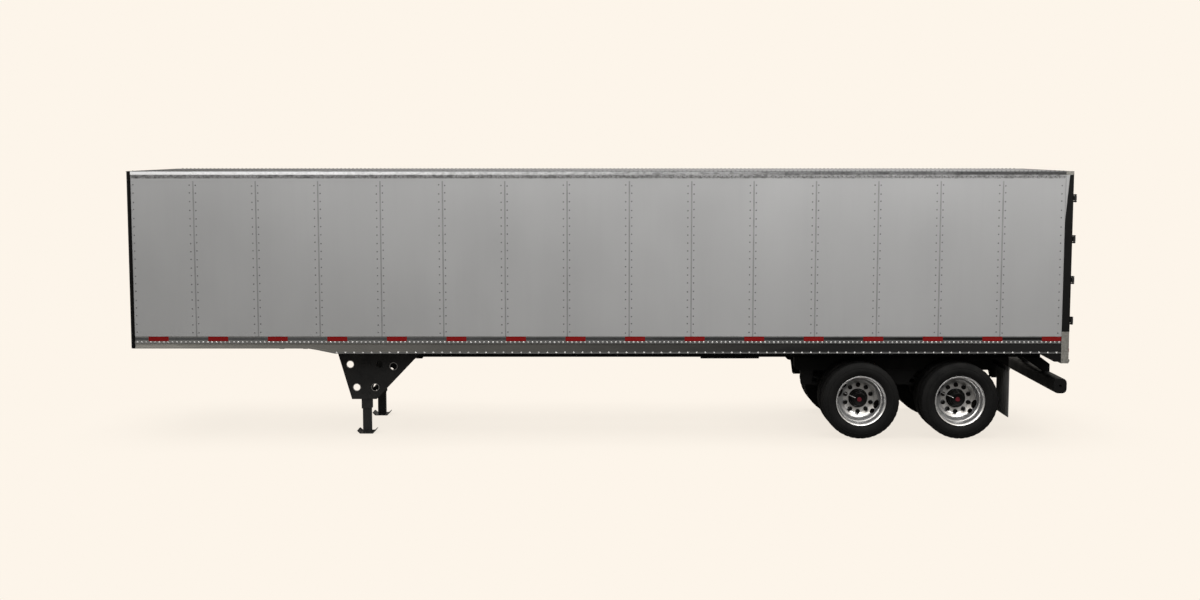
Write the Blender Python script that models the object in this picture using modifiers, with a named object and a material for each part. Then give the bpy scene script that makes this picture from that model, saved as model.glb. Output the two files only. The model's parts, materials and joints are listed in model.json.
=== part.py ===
"""Semi trailer: a forty-foot dry van on a tandem, parked on its landing gear.

Metres, +Z up. X runs from the nose (negative) to the rear doors (positive), and the
vehicle's left side is at negative Y. The origin is on the ground under the body's middle.
"""

import math

import bmesh
import bpy
from mathutils import Matrix, Vector

OBJECT_NAME = "semi_trailer"
FIT_GAP = 0.0003              # gap between pieces that touch
SINK = 0.004                  # how far welded members run into each other
OVERRUN = 0.03                # how far a cutter passes the face that it cuts
LEFT = -1
RIGHT = 1

# Van body
BODY_LENGTH = 12.21
BODY_WIDTH = 2.438
BODY_HEIGHT = 3.495           # roof above the ground
WALL_THICKNESS = 0.036        # outer sheet, posts and lining together
PANELS = 15                   # sheets along one side
SEAM_GROOVE = 0.006           # width of the groove where two sheets meet
SEAM_DEPTH = 0.002
POST_WIDTH = 0.050            # face of an inner post
POST_RECESS = 0.004           # depth of a post's face behind the lining
SHEET_SET = 0.006             # sheets lie this far inside the rails' outer faces

# Top rails and roof
TOP_RAIL_HEIGHT = 0.093
TOP_RAIL_CAP = 0.014          # lip under the roof sheet
TOP_RAIL_GROOVE = 0.012
TOP_RAIL_FLANGE = 0.020       # lower flange over the sheets
TOP_RAIL_STEP = 0.004         # depth of groove and flange
TOP_RAIL_WIDTH = 0.060
ROOF_SHEET = 0.004
ROOF_BOWS = 19
BOW_WIDTH = 0.055
BOW_DEPTH = 0.030

# Bottom rails, cross members and floor
RAIL_BOTTOM = 1.129           # lower edge of the bottom rail above the ground
RAIL_FACE = 0.132
RAIL_RIDGE = 0.030            # riveted ridge over the broad face
RAIL_GROOVE = 0.062           # groove that carries the reflective tape
RAIL_GROOVE_SET = 0.010       # the groove lies this far inside the ridge
RAIL_LIP = 0.022
RAIL_PLATE = 0.008
RAIL_FLANGE = 0.050
NOSE_RAIL_RISE = 0.066        # the rail is this much shallower over the coupler
NOSE_RAIL_LENGTH = 2.335
NOSE_TAPER = 0.320
CROSS_HEIGHT = 0.102
CROSS_FLANGE = 0.060
CROSS_PLATE = 0.006
CROSS_PITCH = 0.305
FLOOR_THICKNESS = 0.035
FLOOR_PLANKS = 8
PLANK_GROOVE = 0.008
PLANK_GROOVE_DEPTH = 0.003

# Nose
NOSE_RADIUS = 0.065           # round of the front corner posts
NOSE_DEPTH = 0.050            # thickness of the front frame
NOSE_ARC_STEPS = 6
NOSE_PANELS = 4
COUPLER_LENGTH = 1.830
COUPLER_PLATE = 0.010
COUPLER_RIBS = 6              # an even number, half of them each side of the kingpin
COUPLER_RIB_WIDTH = 0.050
COUPLER_EDGE = 0.120          # bare plate ahead of or behind the ribs
KINGPIN_SETBACK = 1.030
KINGPIN_RADIUS = 0.0365       # upper and lower collar
KINGPIN_NECK = 0.0254
KINGPIN_DROP = 0.084
KINGPIN_COLLAR = 0.027        # upper collar below the plate
KINGPIN_FOOT = 0.017          # lower collar
KINGPIN_FLANGE_RADIUS = 0.060
KINGPIN_FLANGE = 0.012
KINGPIN_STEPS = 12
NOSE_BOX_WIDTH = 0.420
NOSE_BOX_HEIGHT = 0.160
NOSE_BOX_DEPTH = 0.026
NOSE_BOX_RISE = 0.150         # over the front frame's sill
COUPLING_PITCH = 0.126
GLADHAND_RADIUS = 0.032
GLADHAND_SIDES = 10
GLADHAND_REACH = 0.026

# Rear frame, sill and doors
REAR_DEPTH = 0.100
POST_FACE = 0.090             # width of a rear post seen from behind
HEADER_HEIGHT = 0.110
SILL_DROP = 0.290             # sill's lower edge below the floor
SILL_PLATE = 0.008
CORNER_RISE = 0.090           # sill's corner blocks over the floor
CORNER_ROUND = 0.035          # round foot of a corner block
CORNER_BULGE = 0.012          # how far the foot stands behind the frame
DOOR_THICKNESS = 0.045
DOOR_SET = 0.004              # door face inside the rear frame's face
DOOR_CLEARANCE = 0.006        # door to frame
DOOR_MEETING = 0.012          # between the doors
DOOR_EDGE = 0.050
DOOR_RECESS = 0.003
HINGES = 4
HINGE_INSET = 0.230           # first and last hinge from the door's ends
HINGE_HEIGHT = 0.060
HINGE_LUG = 0.018             # height of a frame-side lug
HINGE_PLAY = 0.003
HINGE_SETOUT = 0.026          # pin's axis behind the rear frame's face
HINGE_SETIN = 0.002           # pin's axis inside the body's side
PIN_RADIUS = 0.0080
PIN_CLEARANCE = 0.0010
PIN_SIDES = 8
KNUCKLE_RADIUS = 0.017
STRAP_THICKNESS = 0.008
STRAP_LENGTH = 0.300
ROD_FROM_PIN = 0.760
ROD_RADIUS = 0.0135
ROD_SETOUT = 0.030            # rod's axis behind the door's face
GUIDE_HEIGHT = 0.050
GUIDE_WIDTH = 0.090
GUIDE_PLATE = 0.008
GUIDE_FROM_HINGE = 0.120      # a guide's lower edge over the hinge beside it
ROD_END = 0.030               # rod past the door's ends
CAM_WIDTH = 0.050
CAM_SET = 0.0025              # cam's front face inside the rod's
CAM_HEIGHT = 0.026
KEEPER_PLATE = 0.008
KEEPER_PLAY = 0.009
KEEPER_HEIGHT = 0.040
HANDLE_RISE = 0.560           # over the floor
HANDLE_LENGTH = 0.420
HANDLE_RADIUS = 0.009
LAMP_RADIUS = 0.055
LAMP_DEPTH = 0.022
LAMPS = 3
LAMP_PITCH = 0.135
LAMP_PLATE = 0.006
LAMP_SIDES = 12
LAMP_INSET = 0.120            # first lamp's centre from the body's side

# Underride guard and mud flaps
GUARD_BOTTOM = 0.603
GUARD_HEIGHT = 0.195
GUARD_DEPTH = 0.168
GUARD_ROUND = 0.055           # round of the bar's long edges
GUARD_SHORTER = 0.020         # bar's ends inside the body's sides
GUARD_BOLT_RADIUS = 0.020     # hole in each end of the bar
GUARD_BOLT_DEPTH = 0.030
GUARD_POST = 0.100            # thickness of a post
GUARD_POST_HEAD = 0.240       # length of a post's head under the long rail
GUARD_POST_SET = 0.037        # post's rear edge ahead of the bar's face
GUARD_POST_NECK = 0.100       # upright part of the rear edge over the bar
FLAP_BEHIND_AXLE = 0.6205
FLAP_INSET = 0.0055           # flap's inner edge outboard of the inner tyre's inner side
FLAP_THICKNESS = 0.010
FLAP_BOTTOM = 0.290
FLAP_LAP = 0.034              # flap behind its arm
FLAP_ARM = 0.040
FLAP_ARM_DROP = 0.035         # arm's top below the bogie's top

# Long rails under the floor, and the bogie frame under them
CHASSIS_START = 3.660         # from the nose
CHASSIS_SHORTER = 0.165       # ends ahead of the rear frame's face
CHASSIS_DEPTH = 0.200
CHASSIS_FLANGE = 0.076
CHASSIS_PLATE = 0.010
BRACE_RADIUS = 0.030
BRACES = 4
BOGIE_DEPTH = 0.172
BOGIE_OVERHANG = 0.080        # past the outer hangers
BOGIE_ROUND = 0.060           # lower corner at each end
BOGIE_WIDTH = 0.096           # of a side rail, a closed box
BOGIE_CROSS = 0.120           # length of a cross box

# Running gear
TYRE_RADIUS = 0.507
TYRE_WIDTH = 0.278
TREAD_WIDTH = 0.196
TYRE_BELLY = 0.094            # widest part above the bead
TYRE_SHOULDER = 0.027         # shoulder below the tread
SHOULDER_SET = 0.011          # shoulder inside the widest part
BEAD_RADIUS = 0.3115
RIM_WIDTH = 0.209             # between the flanges
RIM_FLANGE_RADIUS = 0.328
RIM_FLANGE = 0.013
RIM_PLATE = 0.012
DISC_PLATE = 0.022
DISC_FLAT_RADIUS = 0.215
HUB_CAP_RADIUS = 0.124
HUB_CAP_REACH = 0.150
HUB_CAP_NECK = 0.092          # radius of the cap's outer part
HUB_CAP_STEP = 0.060          # the wide part's reach
HUB_CAP_ROUND = 0.014
HAND_HOLES = 10
HAND_HOLE_RADIUS = 0.026
HAND_HOLE_SIDES = 6
DRUM_RADIUS = 0.225
DRUM_WIDTH = 0.190
DUAL_SPACING = 0.343
TRACK = 1.816
AXLE_SPREAD = 1.293
REAR_OVERHANG = 2.041        # from the tandem's middle to the rear frame's face
WHEEL_STEPS = 20              # a flat of the tyre lies on the ground
AXLE_RADIUS = 0.0635
SPINDLE_RADIUS = 0.040
SPINDLE_PLAY = 0.0012
SPINDLE_END = 0.033           # spindle's end inside the wheels' middle
DRUM_CLEARANCE = 0.005
SPRING_CLEARANCE = 0.0675     # spring to inner tyre
SPRING_WIDTH = 0.075
SPRING_LEAF = 0.014
SPRING_LEAVES = 3
SPRING_SAG = 0.105
SPRING_STEPS = 8
SPRING_HALF = 0.585           # half length of a main leaf
SPRING_SEAT = 0.036
SEAT_LENGTH = 0.140
SEAT_WIDTH = 0.100
HANGER_LENGTH = 0.180
HANGER_WIDTH = 0.110
HANGER_WALL = 0.012           # thickness of a cheek
HANGER_FOOT = 0.127           # foot below the springs' ends
REAR_HANGER_FOOT = 0.032
MIDDLE_HANGER_SPREAD = 0.150  # extra length at each edge of its top
HANGER_TAPER = 0.030          # a hanger's foot is narrower by this at each edge
HANGER_PAST_TIP = 0.1325      # outer edge past the spring's end
HANGER_PIN_RADIUS = 0.018
HANGER_PIN_RISE = 0.030       # over the foot
EQUALIZER_DROP = 0.050
EQUALIZER_LAP = 0.028         # equalizer past the springs' ends
TORQUE_ARM = 0.044            # depth and width of an arm from hanger to axle
TORQUE_ARM_RISE = 0.030       # arm's middle over the axle's
CHAMBER_RADIUS = 0.075
CHAMBER_LENGTH = 0.150
CHAMBER_SIDES = 10
CHAMBER_FROM_SEAT = 0.0975
TANK_RADIUS = 0.120
TANK_LENGTH = 0.800
TANK_FROM_NOSE = 7.900
TANK_STRAP = 0.050

# Landing gear
LEG_FROM_NOSE = 2.994
LEG_SPREAD = 1.400
LEG_SIZE = 0.133
LEG_BOTTOM = 0.330
INNER_LEG_SIZE = 0.108
INNER_LEG_UP = 0.350          # how far the inner leg reaches into the outer one
WING_PLATE = 0.008
WING_BOTTOM = 0.458
WING_TOP_FRONT = 0.403        # plate's corners, ahead of and behind the leg's middle
WING_TOP_REAR = 0.834
WING_FOOT_FRONT = 0.192
WING_FOOT_REAR = 0.137
WING_HOLE_RADIUS = 0.047
WING_HOLE_SIDES = 10
CREASE_WIDTH = 0.014          # raised V on the plate
CREASE_RISE = 0.004
SHOE_LENGTH = 0.250
SHOE_WIDTH = 0.250
SHOE_RISE = 0.040
SHOE_PLATE = 0.010
SHAFT_RADIUS = 0.018
SHAFT_HEIGHT = 0.860
GEARBOX_SIZE = 0.150
GEARBOX_DEPTH = 0.070
CRANK_RADIUS = 0.011
CRANK_THROW = 0.200
CRANK_GRIP = 0.140
STAY_WIDTH = 0.050
STAY_PLATE = 0.010
STAY_LOW = 0.520              # lower cross bar between the legs
STAY_HIGH = 1.100             # where the crossed stays meet the legs
STAY_BEHIND = 0.030           # stays' plane behind the legs' middle

# Holes in a wing plate: (place behind the leg as a share of WING_TOP_REAR,
# height as a share of the plate's height)
WING_HOLE_SHARES = [
    (-0.250, 0.640),
    (0.2135, 0.640),
    (0.441, 0.602),
    (-0.150, 0.218),
    (0.145, 0.218),
]

# Middle line of the raised V on a wing plate, in the same shares
CREASE_SHARES = [
    (-0.150, 0.560),
    (-0.017, 0.362),
    (0.300, 0.555),
]

# Places worked out from the sizes above
NOSE = -BODY_LENGTH / 2
REAR = BODY_LENGTH / 2
SIDE = BODY_WIDTH / 2
NOSE_RAIL_BOTTOM = RAIL_BOTTOM + NOSE_RAIL_RISE
RIDGE_BOTTOM = RAIL_BOTTOM + RAIL_FACE
GROOVE_BOTTOM = RIDGE_BOTTOM + RAIL_RIDGE
WALL_BOTTOM = GROOVE_BOTTOM + RAIL_GROOVE
WALL_TOP = BODY_HEIGHT - TOP_RAIL_HEIGHT
CROSS_TOP = GROOVE_BOTTOM
CROSS_BOTTOM = CROSS_TOP - CROSS_HEIGHT
FLOOR_BOTTOM = CROSS_TOP + FIT_GAP
FLOOR_TOP = FLOOR_BOTTOM + FLOOR_THICKNESS
RAIL_WEB_INSIDE = RAIL_GROOVE_SET + RAIL_PLATE
WALL_INSIDE = SHEET_SET + WALL_THICKNESS
REAR_FRAME_START = REAR - REAR_DEPTH
POST_INSIDE = SIDE - POST_FACE
SILL_TOP = FLOOR_TOP
SILL_BOTTOM = CROSS_TOP - SILL_DROP
HEADER_BOTTOM = BODY_HEIGHT - HEADER_HEIGHT
DOOR_FACE = REAR - DOOR_SET
DOOR_BACK = DOOR_FACE - DOOR_THICKNESS
DOOR_BOTTOM = SILL_TOP + DOOR_CLEARANCE
DOOR_TOP = HEADER_BOTTOM - DOOR_CLEARANCE
DOOR_HEIGHT = DOOR_TOP - DOOR_BOTTOM
PIN_X = REAR + HINGE_SETOUT
PIN_Y = SIDE - HINGE_SETIN
ROD_X = DOOR_FACE + ROD_SETOUT
TANDEM_X = REAR - REAR_OVERHANG
AXLES = [("front", TANDEM_X - AXLE_SPREAD / 2), ("rear", TANDEM_X + AXLE_SPREAD / 2)]
AXLE_Z = TYRE_RADIUS * math.cos(math.pi / WHEEL_STEPS)
INNER_TYRE_SIDE = TRACK / 2 - DUAL_SPACING / 2 - TYRE_WIDTH / 2
SPRING_Y = INNER_TYRE_SIDE - SPRING_CLEARANCE - SPRING_WIDTH / 2
CHASSIS_Y = SPRING_Y          # the long rails' webs stand over the springs
CHASSIS_TOP = CROSS_BOTTOM - FIT_GAP
CHASSIS_BOTTOM = CHASSIS_TOP - CHASSIS_DEPTH
BOGIE_TOP = CHASSIS_BOTTOM - FIT_GAP
BOGIE_BOTTOM = BOGIE_TOP - BOGIE_DEPTH
SPRING_BASE = AXLE_Z + AXLE_RADIUS + SPRING_SEAT
SPRING_THICKNESS = SPRING_LEAF * SPRING_LEAVES
SPRING_TIP = SPRING_BASE + SPRING_SAG + SPRING_THICKNESS
# Hangers: (place along X, extra length of its top at each edge, foot below the springs' ends,
# axle that its torque arm holds or None)
HANGER_REACH = SPRING_HALF + HANGER_PAST_TIP - HANGER_LENGTH / 2
HANGERS = [
    (AXLES[0][1] - HANGER_REACH, 0.0, HANGER_FOOT, AXLES[0][1]),
    (TANDEM_X, MIDDLE_HANGER_SPREAD, HANGER_FOOT, AXLES[1][1]),
    (AXLES[1][1] + HANGER_REACH, 0.0, REAR_HANGER_FOOT, None),
]
FLAP_X = AXLES[-1][1] + FLAP_BEHIND_AXLE
ARM_TOP = BOGIE_TOP - FLAP_ARM_DROP
GUARD_FACE = REAR - SILL_PLATE
GUARD_TOP = GUARD_BOTTOM + GUARD_HEIGHT
CORNER_TOP = SILL_TOP + CORNER_RISE
LEG_X = NOSE + LEG_FROM_NOSE
LEG_TOP = CROSS_BOTTOM - FIT_GAP
LEG_FACE = LEG_SPREAD / 2 + LEG_SIZE / 2
SIDES = [("left", LEFT), ("right", RIGHT)]


def clear_scene():
    """Remove every object, so that the file starts empty."""
    for old in list(bpy.data.objects):
        bpy.data.objects.remove(old, do_unlink=True)


def collection(name):
    made = bpy.data.collections.new(name)
    bpy.context.scene.collection.children.link(made)
    return made


def finish(name, colour, roughness, metallic=0.0):
    """A Principled BSDF material."""
    made = bpy.data.materials.new(name)
    made.use_nodes = True
    shader = made.node_tree.nodes["Principled BSDF"]
    shader.inputs["Base Color"].default_value = (*colour, 1.0)
    shader.inputs["Roughness"].default_value = roughness
    shader.inputs["Metallic"].default_value = metallic
    return made


def solid(name, bm):
    """An object made from a bmesh, with its faces pointing out."""
    bmesh.ops.recalc_face_normals(bm, faces=bm.faces)
    mesh = bpy.data.meshes.new(name)
    bm.to_mesh(mesh)
    bm.free()
    made = bpy.data.objects.new(name, mesh)
    bpy.context.scene.collection.objects.link(made)
    return made


def baked(source, name=None):
    """The evaluated mesh of an object as a plain object, in place of the source."""
    bpy.context.view_layer.update()
    graph = bpy.context.evaluated_depsgraph_get()
    mesh = bpy.data.meshes.new_from_object(source.evaluated_get(graph))
    bm = bmesh.new()
    bm.from_mesh(mesh)
    bpy.data.meshes.remove(mesh)
    bmesh.ops.transform(bm, matrix=source.matrix_world, verts=bm.verts)
    bmesh.ops.remove_doubles(bm, verts=bm.verts, dist=FIT_GAP / 10)
    name = name or source.name
    bpy.data.objects.remove(source, do_unlink=True)
    return solid(name, bm)


def box(name, low, high):
    """A box between two corners."""
    bm = bmesh.new()
    size = [b - a for a, b in zip(low, high)]
    middle = [(a + b) / 2 for a, b in zip(low, high)]
    place = Matrix.Translation(middle) @ Matrix.Diagonal((*size, 1.0))
    bmesh.ops.create_cube(bm, size=1.0, matrix=place)
    return solid(name, bm)


def rod(name, start, end, radius, sides=12, end_radius=None):
    """A round bar or cone from one point to another."""
    run = Vector(end) - Vector(start)
    middle = (Vector(start) + Vector(end)) / 2
    axis = run.to_track_quat("Z", "Y").to_matrix().to_4x4()
    phase = Matrix.Rotation(math.pi / sides, 4, "Z")
    bm = bmesh.new()
    bmesh.ops.create_cone(
        bm,
        cap_ends=True,
        segments=sides,
        radius1=radius,
        radius2=radius if end_radius is None else end_radius,
        depth=run.length,
        matrix=Matrix.Translation(middle) @ axis @ phase,
    )
    return solid(name, bm)


# How an outline's two axes lie in space, for a prism along each axis
PLANES = {
    "X": Matrix(((0, 0, 1, 0), (1, 0, 0, 0), (0, 1, 0, 0), (0, 0, 0, 1))),
    "Y": Matrix(((1, 0, 0, 0), (0, 0, -1, 0), (0, 1, 0, 0), (0, 0, 0, 1))),
    "Z": Matrix.Identity(4),
}


def prism(name, along, outline, low, high, holes=()):
    """A flat outline, (Y, Z), (X, Z) or (X, Y), pushed along X, Y or Z from low to high."""
    curve = bpy.data.curves.new(name, "CURVE")
    curve.dimensions = "2D"
    curve.fill_mode = "BOTH"
    curve.extrude = (high - low) / 2
    for ring in [outline, *holes]:
        spline = curve.splines.new("POLY")
        spline.points.add(len(ring) - 1)
        for point, (u, v) in zip(spline.points, ring):
            point.co = (u, v, 0.0, 1.0)
        spline.use_cyclic_u = True
    made = bpy.data.objects.new(name, curve)
    bpy.context.scene.collection.objects.link(made)
    axis = {"X": 0, "Y": 1, "Z": 2}[along]
    middle = [0.0, 0.0, 0.0]
    middle[axis] = (low + high) / 2
    made.matrix_world = Matrix.Translation(middle) @ PLANES[along]
    return baked(made)


def ring_points(u, v, radius, sides, start=0.0):
    """Points of a round hole or boss in an outline."""
    turn = 2 * math.pi / sides
    return [
        (u + radius * math.cos(start + i * turn), v + radius * math.sin(start + i * turn))
        for i in range(sides)
    ]


def arc(u, v, radius, first, last, steps):
    """Points along an arc, with both ends, angles in degrees."""
    turn = math.radians(last - first) / steps
    start = math.radians(first)
    return [
        (u + radius * math.cos(start + i * turn), v + radius * math.sin(start + i * turn))
        for i in range(steps + 1)
    ]


def loft(name, stations):
    """A bar whose section changes along X: stations are (x, [(y, z), ...])."""
    bm = bmesh.new()
    rings = [[bm.verts.new((x, y, z)) for y, z in section] for x, section in stations]
    for ring, after in zip(rings, rings[1:]):
        for i, corner in enumerate(ring):
            j = (i + 1) % len(ring)
            bm.faces.new((corner, ring[j], after[j], after[i]))
    bm.faces.new(rings[0])
    bm.faces.new(rings[-1])
    return solid(name, bm)


def turned(name, profile, place, steps=WHEEL_STEPS):
    """A profile of (radius, distance along the axis) turned about the axis of a place."""
    bm = bmesh.new()
    points = [bm.verts.new((radius, 0.0, along)) for radius, along in profile]
    closed = profile[0][0] > 0 and profile[-1][0] > 0
    for a, b in zip(points, points[1:]):
        bm.edges.new((a, b))
    if closed:
        bm.edges.new((points[-1], points[0]))
    mesh = bpy.data.meshes.new(name)
    bm.to_mesh(mesh)
    bm.free()
    made = bpy.data.objects.new(name, mesh)
    bpy.context.scene.collection.objects.link(made)
    screw = made.modifiers.new("turn", "SCREW")
    screw.axis = "Z"
    screw.steps = steps
    screw.render_steps = steps
    screw.use_merge_vertices = True
    screw.merge_threshold = FIT_GAP / 10
    phase = Matrix.Rotation(math.pi / steps, 4, "Z")
    made.matrix_world = place @ phase
    return baked(made)


def combine(base, others, operation):
    """Weld or cut others into base with an exact Boolean, and remove them."""
    for other in others:
        change = base.modifiers.new(other.name, "BOOLEAN")
        change.operation = operation
        change.solver = "EXACT"
        change.object = other
    made = baked(base)
    for other in others:
        bpy.data.objects.remove(other, do_unlink=True)
    return made


def weld(base, *others):
    return combine(base, others, "UNION")


def cut(base, *others):
    return combine(base, others, "DIFFERENCE")


def repeat(source, count, step):
    """Copies of a piece in a row, as loose shells in one mesh, for a weld or a cut."""
    row = source.modifiers.new("row", "ARRAY")
    row.count = count
    row.use_relative_offset = False
    row.use_constant_offset = True
    row.constant_offset_displace = step
    return baked(source)


def ordered(a, b):
    return (a, b) if a < b else (b, a)


def side_box(name, side, x_range, y_range, z_range):
    """A box given by distances from the trailer's centre line on one side."""
    low_y, high_y = ordered(side * y_range[0], side * y_range[1])
    low = (x_range[0], low_y, z_range[0])
    high = (x_range[1], high_y, z_range[1])
    return box(name, low, high)


def wall_outline(start, end, outer, panels, post_face):
    """Section of a sheet-and-post wall along u, with v = outer at its outside.

    post_face is the place of the lining, towards lower v.
    """
    pitch = (end - start) / panels
    groove = SEAM_GROOVE / 2
    post = POST_WIDTH / 2
    outside = [(start, outer)]
    inside = [(start, post_face)]
    for i in range(1, panels):
        seam = start + i * pitch
        outside += [(seam - groove, outer), (seam, outer - SEAM_DEPTH), (seam + groove, outer)]
        inside += [
            (seam - post, post_face),
            (seam - post, post_face + POST_RECESS),
            (seam + post, post_face + POST_RECESS),
            (seam + post, post_face),
        ]
    outside.append((end, outer))
    inside.append((end, post_face))
    return outside + inside[::-1]


def side_wall(name, side):
    start = NOSE + NOSE_RADIUS + FIT_GAP
    end = REAR_FRAME_START - FIT_GAP
    outline = wall_outline(start, end, SIDE - SHEET_SET, PANELS, SIDE - WALL_INSIDE)
    outline = [(x, side * y) for x, y in outline]
    return prism(name, "Z", outline, WALL_BOTTOM + FIT_GAP, WALL_TOP - FIT_GAP)


def front_wall(name):
    reach = SIDE - NOSE_RADIUS - FIT_GAP
    outer = -(NOSE + SINK)
    outline = wall_outline(-reach, reach, outer, NOSE_PANELS, outer - WALL_THICKNESS)
    outline = [(-v, u) for u, v in outline]
    return prism(name, "Z", outline, WALL_BOTTOM + FIT_GAP, WALL_TOP - FIT_GAP)


def front_frame(name):
    """Rounded corner posts, header and sill of the nose in one frame."""
    centre = SIDE - NOSE_RADIUS
    inner = SIDE - WALL_INSIDE
    outline = arc(NOSE + NOSE_RADIUS, -centre, NOSE_RADIUS, 270, 180, NOSE_ARC_STEPS)
    outline += arc(NOSE + NOSE_RADIUS, centre, NOSE_RADIUS, 180, 90, NOSE_ARC_STEPS)
    outline += [
        (NOSE + NOSE_RADIUS, inner),
        (NOSE + NOSE_DEPTH, inner),
        (NOSE + NOSE_DEPTH, -inner),
        (NOSE + NOSE_RADIUS, -inner),
    ]
    top = BODY_HEIGHT - ROOF_SHEET - FIT_GAP
    frame = prism(name, "Z", outline, NOSE_RAIL_BOTTOM, top)
    low = (NOSE - OVERRUN, -centre, WALL_BOTTOM)
    high = (NOSE + NOSE_RADIUS + OVERRUN, centre, WALL_TOP)
    return cut(frame, box("window", low, high))


def top_rail(name, side):
    """Extruded rail with a grooved face, on top of the wall."""
    top = BODY_HEIGHT - ROOF_SHEET - FIT_GAP
    cap = top - TOP_RAIL_CAP
    groove = cap - TOP_RAIL_GROOVE
    flange = WALL_TOP + TOP_RAIL_FLANGE
    section = [
        (0, top),
        (0, cap),
        (TOP_RAIL_STEP, cap),
        (TOP_RAIL_STEP, groove),
        (0, groove),
        (0, flange),
        (TOP_RAIL_STEP, flange),
        (TOP_RAIL_STEP, WALL_TOP),
        (TOP_RAIL_WIDTH, WALL_TOP),
        (TOP_RAIL_WIDTH, top),
    ]
    outline = [(side * (SIDE - inward), z) for inward, z in section]
    start = NOSE + NOSE_RADIUS + FIT_GAP
    return prism(name, "X", outline, start, REAR_FRAME_START - FIT_GAP)


def roof(name):
    """Roof sheet over the rails, with its bows under it."""
    half = SIDE - SHEET_SET
    top = BODY_HEIGHT
    sheet_bottom = top - ROOF_SHEET
    start = NOSE + SHEET_SET
    end = REAR_FRAME_START - FIT_GAP
    sheet = box(name, (start, -half, sheet_bottom), (end, half, top))
    reach = SIDE - TOP_RAIL_WIDTH - FIT_GAP
    first = NOSE + NOSE_DEPTH + FIT_GAP
    pitch = (end - first - BOW_WIDTH) / (ROOF_BOWS - 1)
    low = (first, -reach, sheet_bottom - BOW_DEPTH)
    high = (first + BOW_WIDTH, reach, sheet_bottom + ROOF_SHEET / 2)
    bows = repeat(box("bow", low, high), ROOF_BOWS, (pitch, 0.0, 0.0))
    return weld(sheet, bows)


def bottom_rail_section(side, bottom):
    section = [
        (RAIL_GROOVE_SET, WALL_BOTTOM),
        (RAIL_GROOVE_SET, GROOVE_BOTTOM),
        (0, GROOVE_BOTTOM),
        (0, RIDGE_BOTTOM),
        (RAIL_GROOVE_SET, RIDGE_BOTTOM),
        (RAIL_GROOVE_SET, bottom + RAIL_LIP),
        (0, bottom + RAIL_LIP),
        (0, bottom),
        (RAIL_FLANGE, bottom),
        (RAIL_FLANGE, bottom + RAIL_PLATE),
        (RAIL_WEB_INSIDE, bottom + RAIL_PLATE),
        (RAIL_WEB_INSIDE, CROSS_TOP + FIT_GAP),
        (WALL_INSIDE, CROSS_TOP + FIT_GAP),
        (WALL_INSIDE, WALL_BOTTOM),
    ]
    return [(side * (SIDE - inward), z) for inward, z in section]


def bottom_rail(name, side):
    taper = NOSE + NOSE_RAIL_LENGTH
    heights = [
        (NOSE + NOSE_RADIUS + FIT_GAP, NOSE_RAIL_BOTTOM),
        (taper, NOSE_RAIL_BOTTOM),
        (taper + NOSE_TAPER, RAIL_BOTTOM),
        (REAR_FRAME_START - FIT_GAP, RAIL_BOTTOM),
    ]
    return loft(name, [(x, bottom_rail_section(side, z)) for x, z in heights])


def channel_section(web, top, height, flange, plate):
    """Outline of a channel that opens to the rear from the front face of its web."""
    bottom = top - height
    return [
        (web, bottom),
        (web + flange, bottom),
        (web + flange, bottom + plate),
        (web + plate, bottom + plate),
        (web + plate, top - plate),
        (web + flange, top - plate),
        (web + flange, top),
        (web, top),
    ]


def underframe(name):
    """Both bottom rails with the cross members between them."""
    reach = SIDE - RAIL_WEB_INSIDE + SINK
    first = NOSE + NOSE_DEPTH + COUPLER_LENGTH + CROSS_FLANGE
    last = REAR_FRAME_START - CROSS_FLANGE
    count = int((last - first) / CROSS_PITCH) + 1
    outline = channel_section(first, CROSS_TOP, CROSS_HEIGHT, CROSS_FLANGE, CROSS_PLATE)
    beam = prism("cross_member", "Y", outline, -reach, reach)
    beams = repeat(beam, count, (CROSS_PITCH, 0.0, 0.0))
    return weld(bottom_rail(name, LEFT), beams, bottom_rail("other_rail", RIGHT))


def floor(name):
    """Planks laid lengthwise, with a groove at each joint."""
    half = SIDE - WALL_INSIDE - FIT_GAP
    width = 2 * half / FLOOR_PLANKS
    outline = [(-half, FLOOR_BOTTOM), (half, FLOOR_BOTTOM), (half, FLOOR_TOP)]
    for i in range(FLOOR_PLANKS - 1, 0, -1):
        joint = -half + i * width
        outline += [
            (joint + PLANK_GROOVE / 2, FLOOR_TOP),
            (joint, FLOOR_TOP - PLANK_GROOVE_DEPTH),
            (joint - PLANK_GROOVE / 2, FLOOR_TOP),
        ]
    outline.append((-half, FLOOR_TOP))
    start = NOSE + NOSE_DEPTH + FIT_GAP
    return prism(name, "X", outline, start, REAR_FRAME_START - FIT_GAP)


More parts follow.
